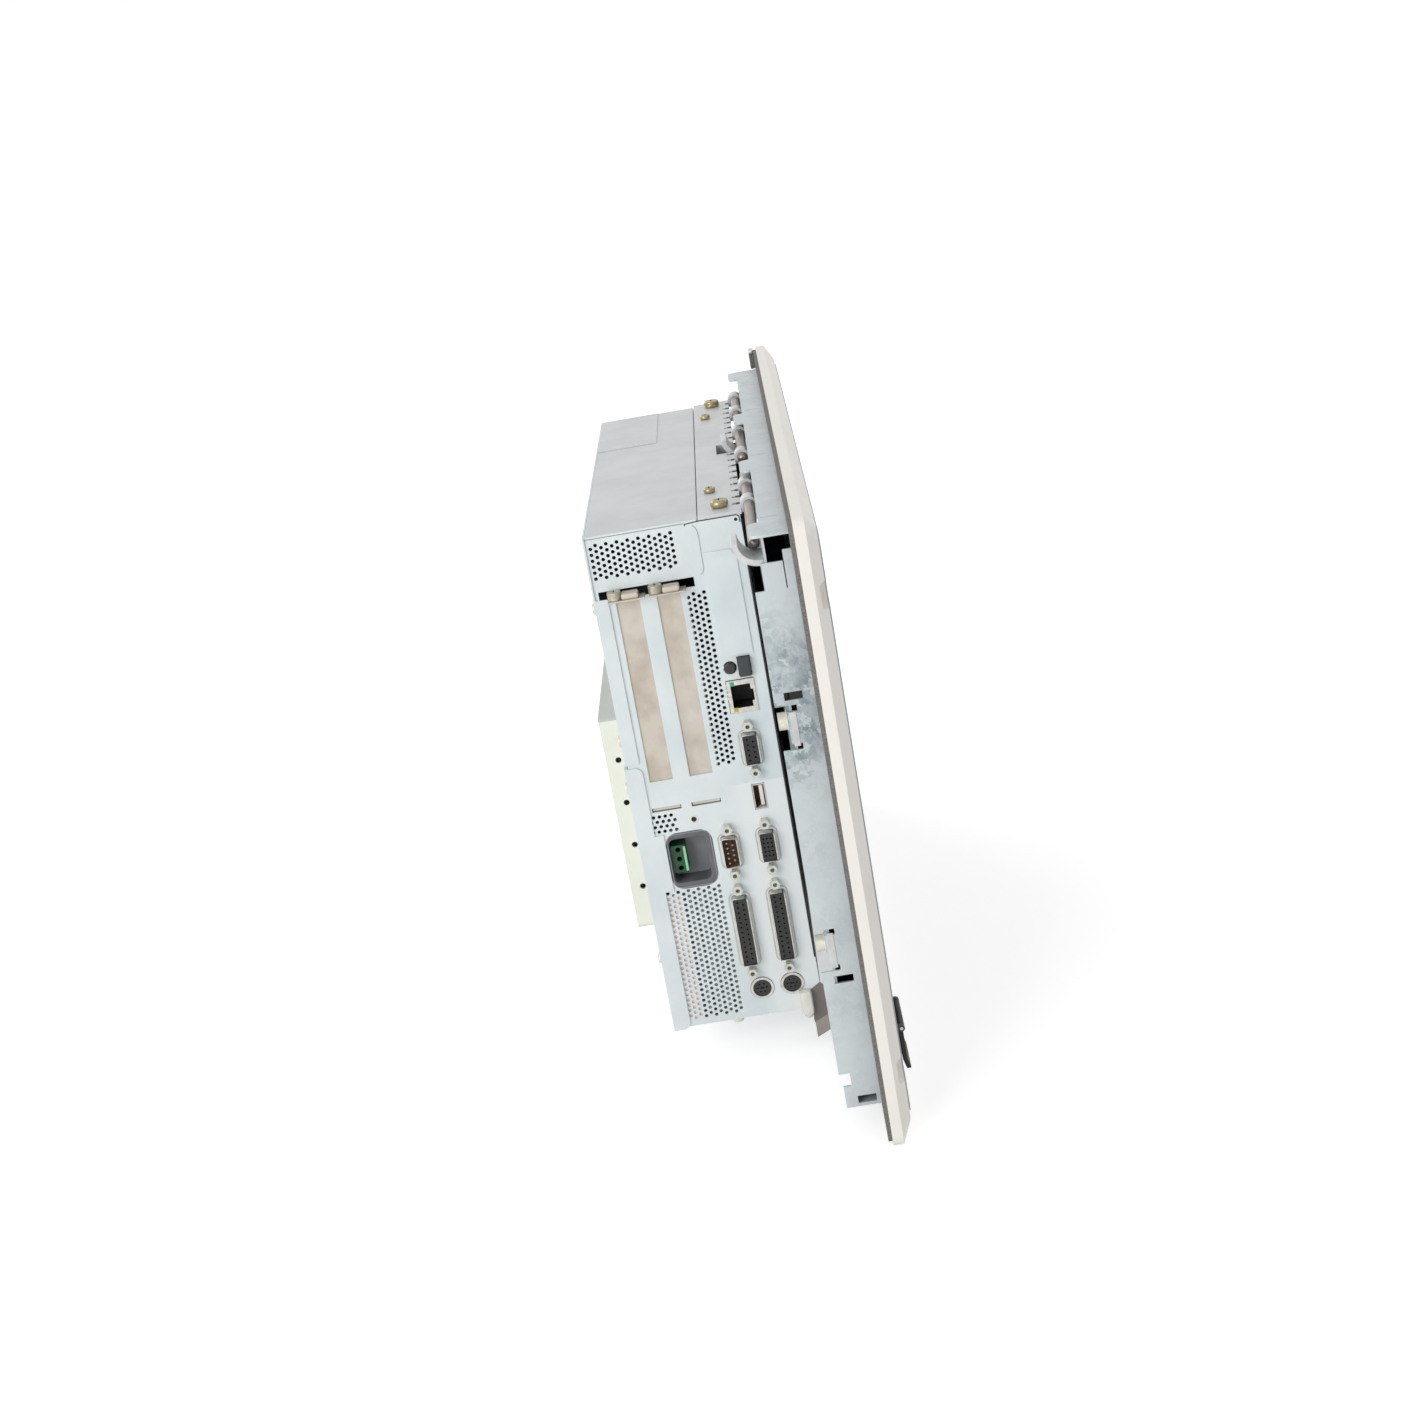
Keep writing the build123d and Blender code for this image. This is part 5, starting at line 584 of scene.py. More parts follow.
class Workshop:
    """Holds the frame, makes each material once and turns meshes into pieces."""

    def __init__(self, frame: dict) -> None:
        """Keeps the frame.
        """
        self.frame = frame
        self.made: dict[Coat, bpy.types.Material] = {}
        self.bodies: dict[str, str] = {}
        for body, members in frame["record"]["behaviour"]["bodies"].items():
            self.bodies.update({node: body for node in members})

    def data(self, node: str) -> bpy.types.Mesh:
        """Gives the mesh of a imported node."""
        return self.frame["nodes"][node].data

    def coat_mesh(self, mesh: bpy.types.Mesh, coats: Sequence[Coat], choose: Chooser) -> None:
        """Puts finishes on a mesh.

        Args:
            mesh: The mesh.
            coats: Its finishes, whose materials are made the first time they are asked for.
            choose: Gives the number of a face's finish from its centre in millimetres and its normal.
        """
        mesh.materials.clear()
        for coat in coats:
            if coat not in self.made:
                self.made[coat] = coat.value.material()
            mesh.materials.append(self.made[coat])
        for face in mesh.polygons:
            face.material_index = choose(face.center / MM, face.normal) if choose else 0

    def dress(self, node: str, *coats: Coat, choose: Chooser = None) -> None:
        """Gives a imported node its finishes."""
        self.coat_mesh(self.data(node), coats, choose)
        log.info("dressed %s", node)

    def piece(
        self, name: str, mesh: Mesh, body: str, slot: str, *coats: Coat, choose: Chooser = None
    ) -> bpy.types.Object:
        """Makes a new piece that rides on a body.

        Args:
            name: Its name.
            mesh: Its shape, in metres, in the frame's own axes. It is freed here.
            body: The body that it rides on.
            slot: The record's material slot; not used.
            *coats: Its finishes.
            choose: Picks the finish of each face.

        Returns:
            The new object.
        """
        item = placed(name, mesh_data(name, mesh))
        self.coat_mesh(item.data, coats, choose)
        item.data.polygons.foreach_set("use_smooth", [True] * len(item.data.polygons))
        item.data.set_sharp_from_angle(angle=math.radians(SMOOTH_BELOW))
        flats = item.modifiers.new("flat_shading", "WEIGHTED_NORMAL")
        flats.keep_sharp = True
        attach(item, body)
        log.info("made %s", name)
        return item

    def merged(self, node: str) -> Mesh:
        """Gives a copy of a node's mesh with its corners joined and its flats in whole faces."""
        mesh = bmesh.new()
        mesh.from_mesh(self.data(node))
        bmesh.ops.remove_doubles(mesh, verts=mesh.verts, dist=WELD * MM)
        limit = math.radians(FLAT_WITHIN)
        bmesh.ops.dissolve_limit(mesh, angle_limit=limit, verts=mesh.verts, edges=mesh.edges)
        return mesh

    def stand_in(self, node: str, mesh: Mesh, coats: Sequence[Coat], choose: Chooser) -> None:
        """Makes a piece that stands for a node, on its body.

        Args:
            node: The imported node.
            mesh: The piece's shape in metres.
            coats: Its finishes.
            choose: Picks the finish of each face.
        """
        slot = self.data(node).materials[0].name
        item = self.piece(f"{node}.dressed", mesh, self.bodies[node], slot, *coats, choose=choose)
        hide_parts(node)

    def rounded(
        self, node: str, radius: float, *coats: Coat, choose: Chooser = None, segments: int = 2
    ) -> None:
        """Makes a copy of a node with rounded edges, which stands for the node.

        Args:
            node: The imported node.
            radius: Width of the rounding in millimetres.
            *coats: The finishes.
            choose: Picks the finish of each face.
            segments: Faces across the rounding.
        """
        mesh = self.merged(node)
        sharp = math.radians(SHARP_FROM)
        edges = [edge for edge in mesh.edges if edge.is_manifold and edge.calc_face_angle() >= sharp]
        soften(mesh, edges, radius * MM, segments)
        self.stand_in(node, mesh, coats, choose)

    def domed(
        self, node: str, axis: int, share: float, *coats: Coat, choose: Chooser = None, taller: float = 1
    ) -> None:
        """Domes the screw heads in a node, which the result stands for.

        Args:
            node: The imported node, with screws along one axis.
            axis: Number of that axis.
            share: Width of the rounding as a share of a head's radius.
            *coats: The finishes.
            choose: Picks the finish of each face.
            taller: How many times taller the heads get that lie above the origin.
        """
        mesh = self.merged(node)
        across = [number for number in range(3) if number != axis]
        for island in islands(mesh):
            corners = [vert.co for vert in island]
            seat = min(c[axis] for c in corners)
            if seat > 0:
                for corner in corners:
                    corner[axis] = seat + (corner[axis] - seat) * taller
            middle = [(min(c[i] for c in corners) + max(c[i] for c in corners)) / 2 for i in across]
            reach = max(math.dist(middle, [c[i] for i in across]) for c in corners)
            rim = [
                edge
                for edge in {edge for vert in island for edge in vert.link_edges}
                if edge.is_manifold
                and edge.calc_face_angle() > math.radians(RIM_FROM)
                and all(math.dist(middle, [vert.co[i] for i in across]) > 0.97 * reach for vert in edge.verts)
                and abs(edge.verts[0].co[axis] - edge.verts[1].co[axis]) < 0.01 * MM
            ]
            soften(mesh, rim, share * reach, 4)
        self.stand_in(node, mesh, coats, choose)


def mesh_data(name: str, mesh: Mesh) -> bpy.types.Mesh:
    """Turns a mesh under way into mesh data.

    Args:
        name: Name of the data.
        mesh: The mesh, which is freed here.

    Returns:
        The data.
    """
    data = bpy.data.meshes.new(name)
    mesh.to_mesh(data)
    mesh.free()
    return data


def placed(name: str, data: bpy.types.ID) -> bpy.types.Object:
    """Puts data into the scene.

    Args:
        name: Name of the object.
        data: Its mesh, camera or lamp.

    Returns:
        The object, at the origin and unturned.
    """
    item = bpy.data.objects.new(name, data)
    bpy.context.scene.collection.objects.link(item)
    return item


def soften(mesh: Mesh, edges: Sequence, width: float, segments: int = 2, clamp: bool = True) -> None:
    """Rounds edges of a mesh.

    Args:
        mesh: The mesh in metres.
        edges: Its edges to round.
        width: Width of the rounding in metres.
        segments: Faces across the rounding.
        clamp: Whether roundings stop where they meet.
    """
    shape = {"affect": "EDGES", "profile": 0.5, "clamp_overlap": clamp, "material": -1}
    bmesh.ops.bevel(mesh, geom=edges, offset=width, segments=segments, **shape)


def islands(mesh: Mesh) -> list[list[bmesh.types.BMVert]]:
    """Gives the corners of each separate solid in a mesh."""
    left = set(mesh.verts)
    found = []
    while left:
        stack, island = [left.pop()], []
        while stack:
            corner = stack.pop()
            island.append(corner)
            for edge in corner.link_edges:
                other = edge.other_vert(corner)
                if other in left:
                    left.discard(other)
                    stack.append(other)
        found.append(island)
    return found


def shifted(x: float, y: float, z: float) -> Matrix:
    """Gives the matrix of a shift in millimetres."""
    return Matrix.Translation(Vector((x, y, z)) * MM)


def box_mesh(low: Sequence[float], high: Sequence[float], radius: float) -> Mesh:
    """Makes a block with rounded edges.

    Args:
        low: Its lowest corner in millimetres.
        high: Its highest corner in millimetres.
        radius: Width of the rounding in millimetres.

    Returns:
        The block's mesh in metres.
    """
    mesh = bmesh.new()
    size = [(b - a) * MM for a, b in zip(low, high)]
    middle = [(a + b) / 2 for a, b in zip(low, high)]
    bmesh.ops.create_cube(mesh, size=1, matrix=shifted(*middle) @ Matrix.Diagonal((*size, 1)))
    soften(mesh, mesh.edges[:], radius * MM, clamp=False)
    return mesh


def outline(size: Sequence[float], corner: float) -> list[tuple[float, float]]:
    """Gives the points round a rectangle with rounded corners.

    Args:
        size: Its width and height in millimetres.
        corner: Its corner radius in millimetres.

    Returns:
        Points in millimetres round the middle, in turn.
    """
    points = []
    for quarter in range(4):
        across = (1, -1, -1, 1)[quarter] * (size[0] / 2 - corner)
        along = (1, 1, -1, -1)[quarter] * (size[1] / 2 - corner)
        for step in range(7):
            turn = math.radians(90 * quarter + 15 * step)
            points.append((across + corner * math.cos(turn), along + corner * math.sin(turn)))
    return points


def band_mesh(place: Matrix, size: Sequence[float], corner: float, width: float, proud: float) -> Mesh:
    """Makes a flat band round a rectangle with rounded corners.

    Args:
        place: Matrix that lays the rectangle's plane, with its middle in metres. The band rises along its Z.
        size: Outer width and height in millimetres.
        corner: Outer corner radius in millimetres.
        width: Width of the band in millimetres.
        proud: Thickness of the band in millimetres.

    Returns:
        The band's mesh in metres.
    """
    mesh = bmesh.new()
    outer = outline(size, corner)
    inner = outline([length - 2 * width for length in size], max(corner - width, 0.05))
    rings = []
    for course, height in ((outer, 0.0), (inner, 0.0), (inner, proud), (outer, proud)):
        rings.append([mesh.verts.new((x * MM, y * MM, height * MM)) for x, y in course])
    for ring, beside in zip(rings, rings[1:] + rings[:1]):
        for at in range(len(ring)):
            mesh.faces.new((ring[at - 1], ring[at], beside[at], beside[at - 1]))
    bmesh.ops.recalc_face_normals(mesh, faces=mesh.faces)
    bmesh.ops.transform(mesh, matrix=place, verts=mesh.verts)
    return mesh


def ribbon_mesh(points: Sequence[Sequence[float]], proud: float, width: float) -> Mesh:
    """Makes a strip that follows points on the port side.

    Args:
        points: Its course, in millimetres.
        proud: How far it stands off the side, in millimetres.
        width: Its width in millimetres.

    Returns:
        The strip's mesh in metres.
    """
    mesh = bmesh.new()
    verts = [mesh.verts.new(Vector(point) * MM) for point in points]
    edges = [mesh.edges.new(pair) for pair in zip(verts, verts[1:])]
    grown = bmesh.ops.extrude_edge_only(mesh, edges=edges)["geom"]
    moved = [item for item in grown if isinstance(item, bmesh.types.BMVert)]
    bmesh.ops.translate(mesh, verts=moved, vec=Vector((-proud * MM, 0, 0)))
    bmesh.ops.recalc_face_normals(mesh, faces=mesh.faces)
    bmesh.ops.solidify(mesh, geom=mesh.faces[:], thickness=width * MM)
    return mesh


def on_side(x: float, y: float, z: float) -> Matrix:
    """Gives the matrix of a drawing plane on the port side: width along Y, height along Z, in millimetres."""
    return shifted(x, y, z) @ Matrix(((0, 0, 1, 0), (1, 0, 0, 0), (0, 1, 0, 0), (0, 0, 0, 1)))


def on_front(x: float, y: float, z: float) -> Matrix:
    """Gives the matrix of a drawing plane that faces the operator: width along X, height along Z."""
    return shifted(x, y, z) @ Matrix(((1, 0, 0, 0), (0, 0, -1, 0), (0, 1, 0, 0), (0, 0, 0, 1)))


def numbers_mesh(prints: Sequence[tuple[str, float, float]], front: float, size: float) -> Mesh:
    """Makes thin printed numbers that face the operator.

    Args:
        prints: Text of each number with the X and Z of its middle, in millimetres.
        front: Y of the surface that they lie on, in millimetres.
        size: Height of the letters in millimetres.

    Returns:
        The mesh of all the numbers in metres.
    """
    whole = bmesh.new()
    for text, x, z in prints:
        curve = bpy.data.curves.new("number", "FONT")
        curve.body = text
        curve.size = size * MM
        curve.extrude = 0.02 * MM
        curve.resolution_u = 3
        curve.align_x = curve.align_y = "CENTER"
        item = bpy.data.objects.new("number", curve)
        data = bpy.data.meshes.new_from_object(item)
        bpy.data.objects.remove(item)
        data.transform(on_front(x, front - 0.03, z))
        whole.from_mesh(data)
        bpy.data.meshes.remove(data)
        bpy.data.curves.remove(curve)
    return whole


def limits(node: str) -> tuple[Vector, Vector]:
    """Gives the lowest and highest corner of a node in millimetres."""
    low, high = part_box(node)
    return low / MM, high / MM


@dataclass
class Assembly:
    """A sub-assembly: nodes with one finish each, and the pieces added to its body.

    Fields without a unit in the sub-assemblies are millimetres.
    """

    shop: Workshop
    body: str = "unit"
    plain: tuple = ()  # node and finish
    soft: tuple = ()  # node, width of the rounding in millimetres, faces across it, finish

    def build(self) -> None:
        """Dresses the listed nodes, rounds those with a width, then adds the details."""
        for node, coat in self.plain:
            self.shop.dress(node, coat)
        for node, radius, segments, coat in self.soft:
            self.shop.rounded(node, radius, coat, segments=segments)
        self.details()

    def details(self) -> None:
        """Adds what the lists don't hold. Plain assemblies have nothing more."""

    def add(self, name: str, mesh: Mesh, slot: str, *coats: Coat, choose: Chooser = None) -> None:
        """Adds a piece to the assembly's body.

        Args:
            name: Its name.
            mesh: Its shape in metres.
            slot: The record's material slot; not used.
            *coats: Its finishes.
            choose: Picks the finish of each face.
        """
        self.shop.piece(name, mesh, self.body, slot, *coats, choose=choose)


@dataclass
class OperatorFront(Assembly):
    """The operator's side: bezel, window, key foil, seal and service port."""

    body: str = "front"
    plain: tuple = (
        ("panel_gasket", Coat.GASKET),
        ("display_glass", Coat.SCREEN),
        ("lcd_module", Coat.LCD),
        ("inverter_board", Coat.CIRCUIT),
        ("flap_hinge_pin", Coat.BRIGHT),
        ("front_usb_socket", Coat.BRIGHT),
    )
    soft: tuple = (
        ("front_bezel", 0.8, 2, Coat.BEZEL),
        ("flap_frame", 0.4, 2, Coat.SURROUND),
        ("port_flap", 0.7, 2, Coat.FLAP),
    )
    border: float = 9.0
    digit_size: float = 6.0
    key_pitch: float = 17.5
    soft_pitch: float = 22.0
    key_gap: float = 13.25
    pad_gap: float = 43.75
    key_rise: float = 0.55

    def details(self) -> None:
        """Parts the keys from the foil and adds the window's border and the keys' numbers."""
        self.foil()
        self.window_border()
        self.key_numbers()

    def foil(self) -> None:
        """Colours the raised keys apart from the foil: pale keys, darker function keys below the window."""
        raised = limits("membrane_keypad")[0].y + self.key_rise
        low, high = limits("display_glass")

        def key_or_foil(centre: Vector, normal: Vector) -> int:
            """Numbers the finish: foil, pale key or function key."""
            if centre.y > raised:
                return 0
            return 2 if centre.z < low.z - 2 and low.x - 10 < centre.x < high.x + 10 else 1

        self.shop.dress("membrane_keypad", Coat.FOIL, Coat.KEY, Coat.FUNCTION_KEY, choose=key_or_foil)

    def window_border(self) -> None:
        """Adds the black printed border on the window."""
        low, high = limits("display_glass")
        middle = (low + high) / 2
        size = (high.x - low.x - 0.2, high.z - low.z - 0.2)
        mesh = band_mesh(on_front(middle.x, low.y - 0.01, middle.z), size, 2.0, self.border, 0.05)
        self.add("window_border", mesh, "window", Coat.BORDER)

    def key_numbers(self) -> None:
        """Prints plain numbers on the number pad, the function keys and the keys beside the window."""
        low, high = limits("display_glass")
        middle, pitch = (low + high) / 2, self.key_pitch
        pad_x = high.x + self.pad_gap
        prints = [("0", pad_x + pitch, middle.z - 2 * pitch)]
        for number in range(9):
            row, column = divmod(number, 3)
            prints.append((str(number + 1), pad_x + column * pitch, middle.z - pitch + row * pitch))
        for number in range(14):
            prints.append((str(number + 1), middle.x + (number - 6.5) * pitch, low.z - self.key_gap))
        for number in range(8):
            z = middle.z + (3.5 - number) * self.soft_pitch
            prints.append((str(number + 1), low.x - self.key_gap, z))
            prints.append((str(number + 9), high.x + self.key_gap, z))
        mesh = numbers_mesh(prints, limits("membrane_keypad")[0].y, self.digit_size)
        self.add("key_numbers", mesh, "foil", Coat.PRINT)


@dataclass
class DisplayFrame(Assembly):
    """The galvanised ring behind the front, with its screws and hooks."""

    body: str = "front"
    plain: tuple = (("display_frame", Coat.GALVANISED), ("display_back_plate", Coat.GALVANISED_PLATE))
    soft: tuple = (("hinge_hooks", 0.5, 2, Coat.HOOK_ZINC),)
    seal_end: tuple = ((229, 0.0, 142.5), (239.5, 2.9, 151.5))
    seal_clip: tuple = ((230, 0.0, 151.6), (239, 3.2, 154.4))
    tab_heights: tuple = (("upper", 44.0, 60.5), ("lower", -68.5, -50.5))
    tab_depth: Range = (9.9, 12.9)
    slot_shade_depth: Range = (3.0, 15.0)
    slot_shade_height: Range = (64.0, 72.0)

    def details(self) -> None:
        """Domes the screws and adds the tabs' faces, a black sheet of painted shade in the slot and the
        seal's end with its clip.
        """
        self.shop.domed("frame_screws", 1, 0.38, Coat.PALE_SCREW)
        self.add("seal_end", box_mesh(*self.seal_end, 0.5), "gasket", Coat.GASKET)
        self.add("seal_clip", box_mesh(*self.seal_clip, 1.1), "zinc", Coat.HOOK_ZINC)
        side = limits("display_frame")[0].x
        near, far = self.tab_depth
        for name, low, high in self.tab_heights:
            face = box_mesh((side - 0.3, near, low), (side + 0.1, far, high), 0.12)
            self.add(f"tab_face_{name}", face, "zinc", Coat.HOOK_ZINC)
        # a black sheet inside the frame's slot: painted shade, so the slot reads dark
        (near, far), (low, high) = self.slot_shade_depth, self.slot_shade_height
        slot_shade = box_mesh((side + 1.3, near, low), (side + 1.7, far, high), 0.1)
        self.add("slot_painted_shade", slot_shade, "black_plastic", Coat.INSERT_BLACK)


@dataclass
class UnitCase(Assembly):
    """The computing unit's sheet-metal case, its hinge parts, blanks and screws.

    Places on the port side are pairs: how far ahead of the unit's rear, how far above the plate's foot.
    """

    plain: tuple = (
        ("port_side_plate", Coat.PORT_ZINC),
        ("drive_side_plate", Coat.CASE_ZINC),
        ("unit_front_plate", Coat.INNER_ZINC),
        ("bottom_plate", Coat.CASE_ZINC),
        ("hinge_bracket", Coat.BRACKET_ZINC),
        ("hinge_rods", Coat.ROD),
        ("card_slot_cover", Coat.CASE_ZINC),
    )
    soft: tuple = (
        # the roof's coat holds painted shade for its weaker light
        ("top_cover", 0.4, 2, Coat.TOP_ZINC_SHADED),
        ("back_cover", 0.5, 2, Coat.CASE_ZINC),
        ("rear_hatch", 0.6, 2, Coat.CASE_ZINC),
        ("slot_blank_1", 0.25, 2, Coat.BLANK),
        ("slot_blank_2", 0.25, 2, Coat.BLANK),
    )
    sheet: float = 1.0
    patch_step: float = 0.5
    patch_depth: float = 35.3
    patch_reach: float = 206.2
    ridge_rise: float = 0.3
    ridge_width: float = 0.35
    bracket_lift: float = 1.0
    hook_along: float = 152.5
    notch_pitch: float = 15.0
    notch_size: tuple = (4.0, 2.3, 0.12)
    pocket: tuple = ((11.9, 2.5, -8.5), (12.4, 16.0, -2.1))
    cap_rise: float = 3.2
    cap_back: float = 3.0
    cap_length: float = 8.5
    groove: Range = (3.2, 6.4)
    rail_depth: Range = (83.4, 91.4)
    rail_height: Range = (2.0, 74.0)
    rib_first: float = 79.4
    rib_pitch: float = 5.3
    rib_half: float = 0.95
    rib_height: Range = (4.5, 77.0)
    seal_height: Range = (28.0, 245.0)
    cable_across: Range = (95.0, 160.0)
    cable_height: Range = (-75.0, 112.0)
    cable_stack: float = 3.6
    nut: Range = (29.1, 113.9)
    seam: tuple = ((50.2, 264.6), (50.4, 265.8), (57.0, 266.3), (76.0, 266.3), (77.6, 265.6), (77.8, 262.2))
    seam_hole: Range = (75.6, 263.8)
    ridge: tuple = (
        *((54.2, 264.6), (55.4, 263.4), (56.2, 261.4), (56.5, 258.5)),
        *((56.3, 242.5), (55.8, 240.6), (54.4, 239.2)),
    )
    top_fold: tuple = ((0.6, 266.2), (50.0, 266.2))
    rear_fold: tuple = ((0.7, 2.0), (0.7, 266.0))

    def details(self) -> None:
        """Dresses the rear box and the screws and adds lips, lines, rings, notches and blocks.

        The box's faces that look up take a greyer finish, painted shade for their weaker light; the case
        screws have a second finish on the roof.
        """
        shop = self.shop
        faces_up_shaded = lambda centre, normal: int(normal.z > 0.3)
        on_roof = lambda centre, normal: int(centre.z > 0)
        # the box's upward faces take the greyer coat: painted shade
        shop.rounded("drive_cover", 1.2, Coat.COVER, Coat.COVER_TOP_SHADE, choose=faces_up_shaded, segments=3)
        shop.domed("case_screws", 2, 0.75, Coat.PALE_SCREW, Coat.BRASS, choose=on_roof, taller=1.25)
        shop.domed("back_screws", 1, 0.38, Coat.PALE_SCREW)
        shop.domed("slot_screws", 2, 0.55, Coat.DULL_SCREW, taller=1.7)
        self.tab_caps()
        self.lines()
        self.rings()
        self.bracket_details()
        self.blocks()

    def tab_caps(self) -> None:
        """Adds the raised, rolled lip of each slot blank's tab, with painted shade underneath, and its
        pressed groove, painted dark as shade.
        """
        side = limits("port_side_plate")[0].x
        coats = (Coat.TAB, Coat.TAB_SHADE)
        # faces that look down take the darker coat: painted shade under the lip
        shaded_underside = lambda centre, normal: int(normal.z < -0.3)
        for number in (1, 2):
            low, high = limits(f"slot_blank_{number}")
            front, top = low.y + self.cap_back, high.z + self.cap_rise
            corner = (side - 0.4, front + self.cap_length, top)
            mesh = box_mesh((low.x - 0.2, front, high.z - 0.1), corner, 1.0)
            self.add(f"tab_cap_{number}", mesh, "blank_steel", *coats, choose=shaded_underside)
            place = shifted((low.x + side) / 2 - 0.3, front + self.cap_length / 2, top - 0.02)
            # the groove is a thin raised ring in the darker coat, painted shade of the pressed recess
            groove = band_mesh(place, self.groove, 1.5, 0.5, 0.12)
            self.add(f"tab_groove_{number}", groove, "blank_steel", Coat.TAB_SHADE)

    def lines(self) -> None:
        """Draws the seam, painted shade along the cover sheets' edges and the pressed line on the port side,
        darkened as painted shade.
        """
        low, high = limits("port_side_plate")
        for name, course, proud, width, slot, coat in (
            ("side_seam", self.seam, 0.06, 0.55, "black_plastic", Coat.INSERT_BLACK),
            # two dark lines of painted shade along the cover sheets' edges
            ("top_fold", self.top_fold, 0.08, 0.45, "zinc", Coat.SHEET_EDGE),
            ("rear_fold", self.rear_fold, 0.08, 0.35, "zinc", Coat.SHEET_EDGE),
            # the pressed line, darkened as painted shade
            ("side_ridge", self.ridge, self.ridge_rise, self.ridge_width, "zinc", Coat.FOLD),
        ):
            points = [(low.x, high.y + self.sheet - back, low.z + up) for back, up in course]
            self.add(name, ribbon_mesh(points, proud, width), slot, coat)

    def rings(self) -> None:
        """Adds the rivet nut between the slits and the inlet, and the hole at the seam's end."""
        low, high = limits("port_side_plate")
        for name, spot, off, across, width, proud, slot, coat in (
            ("rivet_nut", self.nut, 0.2, 4.4, 0.8, 0.2, "bright_metal", Coat.PALE_SCREW),
            ("rivet_nut_bore", self.nut, 0.06, 2.8, 1.38, 0.05, "black_plastic", Coat.INSERT_BLACK),
            ("side_seam_hole", self.seam_hole, 0.06, 1.7, 0.83, 0.05, "black_plastic", Coat.INSERT_BLACK),
        ):
            place = on_side(low.x - off, high.y + self.sheet - spot[0], low.z + spot[1])
            self.add(name, band_mesh(place, (across, across), across / 2 - 0.01, width, proud), slot, coat)

    def bracket_details(self) -> None:
        """Adds the notches along the bracket's front edge and the wall of the middle hook's pocket."""
        low, high = limits("port_side_plate")
        top, front = high.z + self.bracket_lift, low.y - self.sheet
        middle = low.x + self.hook_along
        mesh = bmesh.new()
        size = Matrix.Diagonal((*[length * MM for length in self.notch_size], 1))
        for number in range(1, 20):
            x = low.x + number * self.notch_pitch
            if abs(x - middle) > self.notch_pitch:
                bmesh.ops.create_cube(mesh, size=1, matrix=shifted(x, front + 1.1, top) @ size)
        self.add("bracket_notches", mesh, "black_plastic", Coat.INSERT_BLACK)
        wall = box_mesh(*[(middle + x, front + y, top + z) for x, y, z in self.pocket], 0.1)
        self.add("hook_pocket_wall", wall, "zinc", Coat.BRACKET_ZINC)

    def blocks(self) -> None:
        """Adds the roof's doubler, the rail and ribs behind the vents, the front seal and the flat cable."""
        low, high = limits("top_cover")
        start = (low.x - self.sheet + self.patch_reach, high.y - self.patch_depth + self.sheet, high.z)
        # the doubler takes the roof's coat, with its painted shade
        patch = box_mesh(start, (high.x, high.y, high.z + self.patch_step), 0.15)
        self.add("roof_doubler", patch, "zinc", Coat.TOP_ZINC_SHADED)
        low, _ = limits("port_side_plate")
        side, (near, far) = low.x + 1.05, self.rail_depth
        foot, top = [low.z + up for up in self.rail_height]
        rail = box_mesh((side, near, foot), (side + 0.8, far, top), 0.15)
        self.add("vent_rail", rail, "blank_steel", Coat.RAIL)
        foot, top = [low.z + up for up in self.rib_height]
        for number in range(4):
            y = self.rib_first - number * self.rib_pitch
            rib = box_mesh((low.x + 3, y - self.rib_half, foot), (low.x + 3.5, y + self.rib_half, top), 0.1)
            self.add(f"vent_rib_{number + 1}", rib, "zinc", Coat.CASE_ZINC)
        foot, top = [low.z + up for up in self.seal_height]
        seal = box_mesh((low.x - 0.3, low.y - 0.1, foot), (low.x + 0.9, low.y + 0.6, top), 0.2)
        self.add("front_seal", seal, "black_plastic", Coat.CABLE)
        front = limits("unit_front_plate")[0].y
        (left, right), (foot, top) = self.cable_across, self.cable_height
        cable = box_mesh((left, front - self.cable_stack, foot), (right, front - 0.05, top), 0.8)
        self.add("display_cable", cable, "black_plastic", Coat.CABLE)


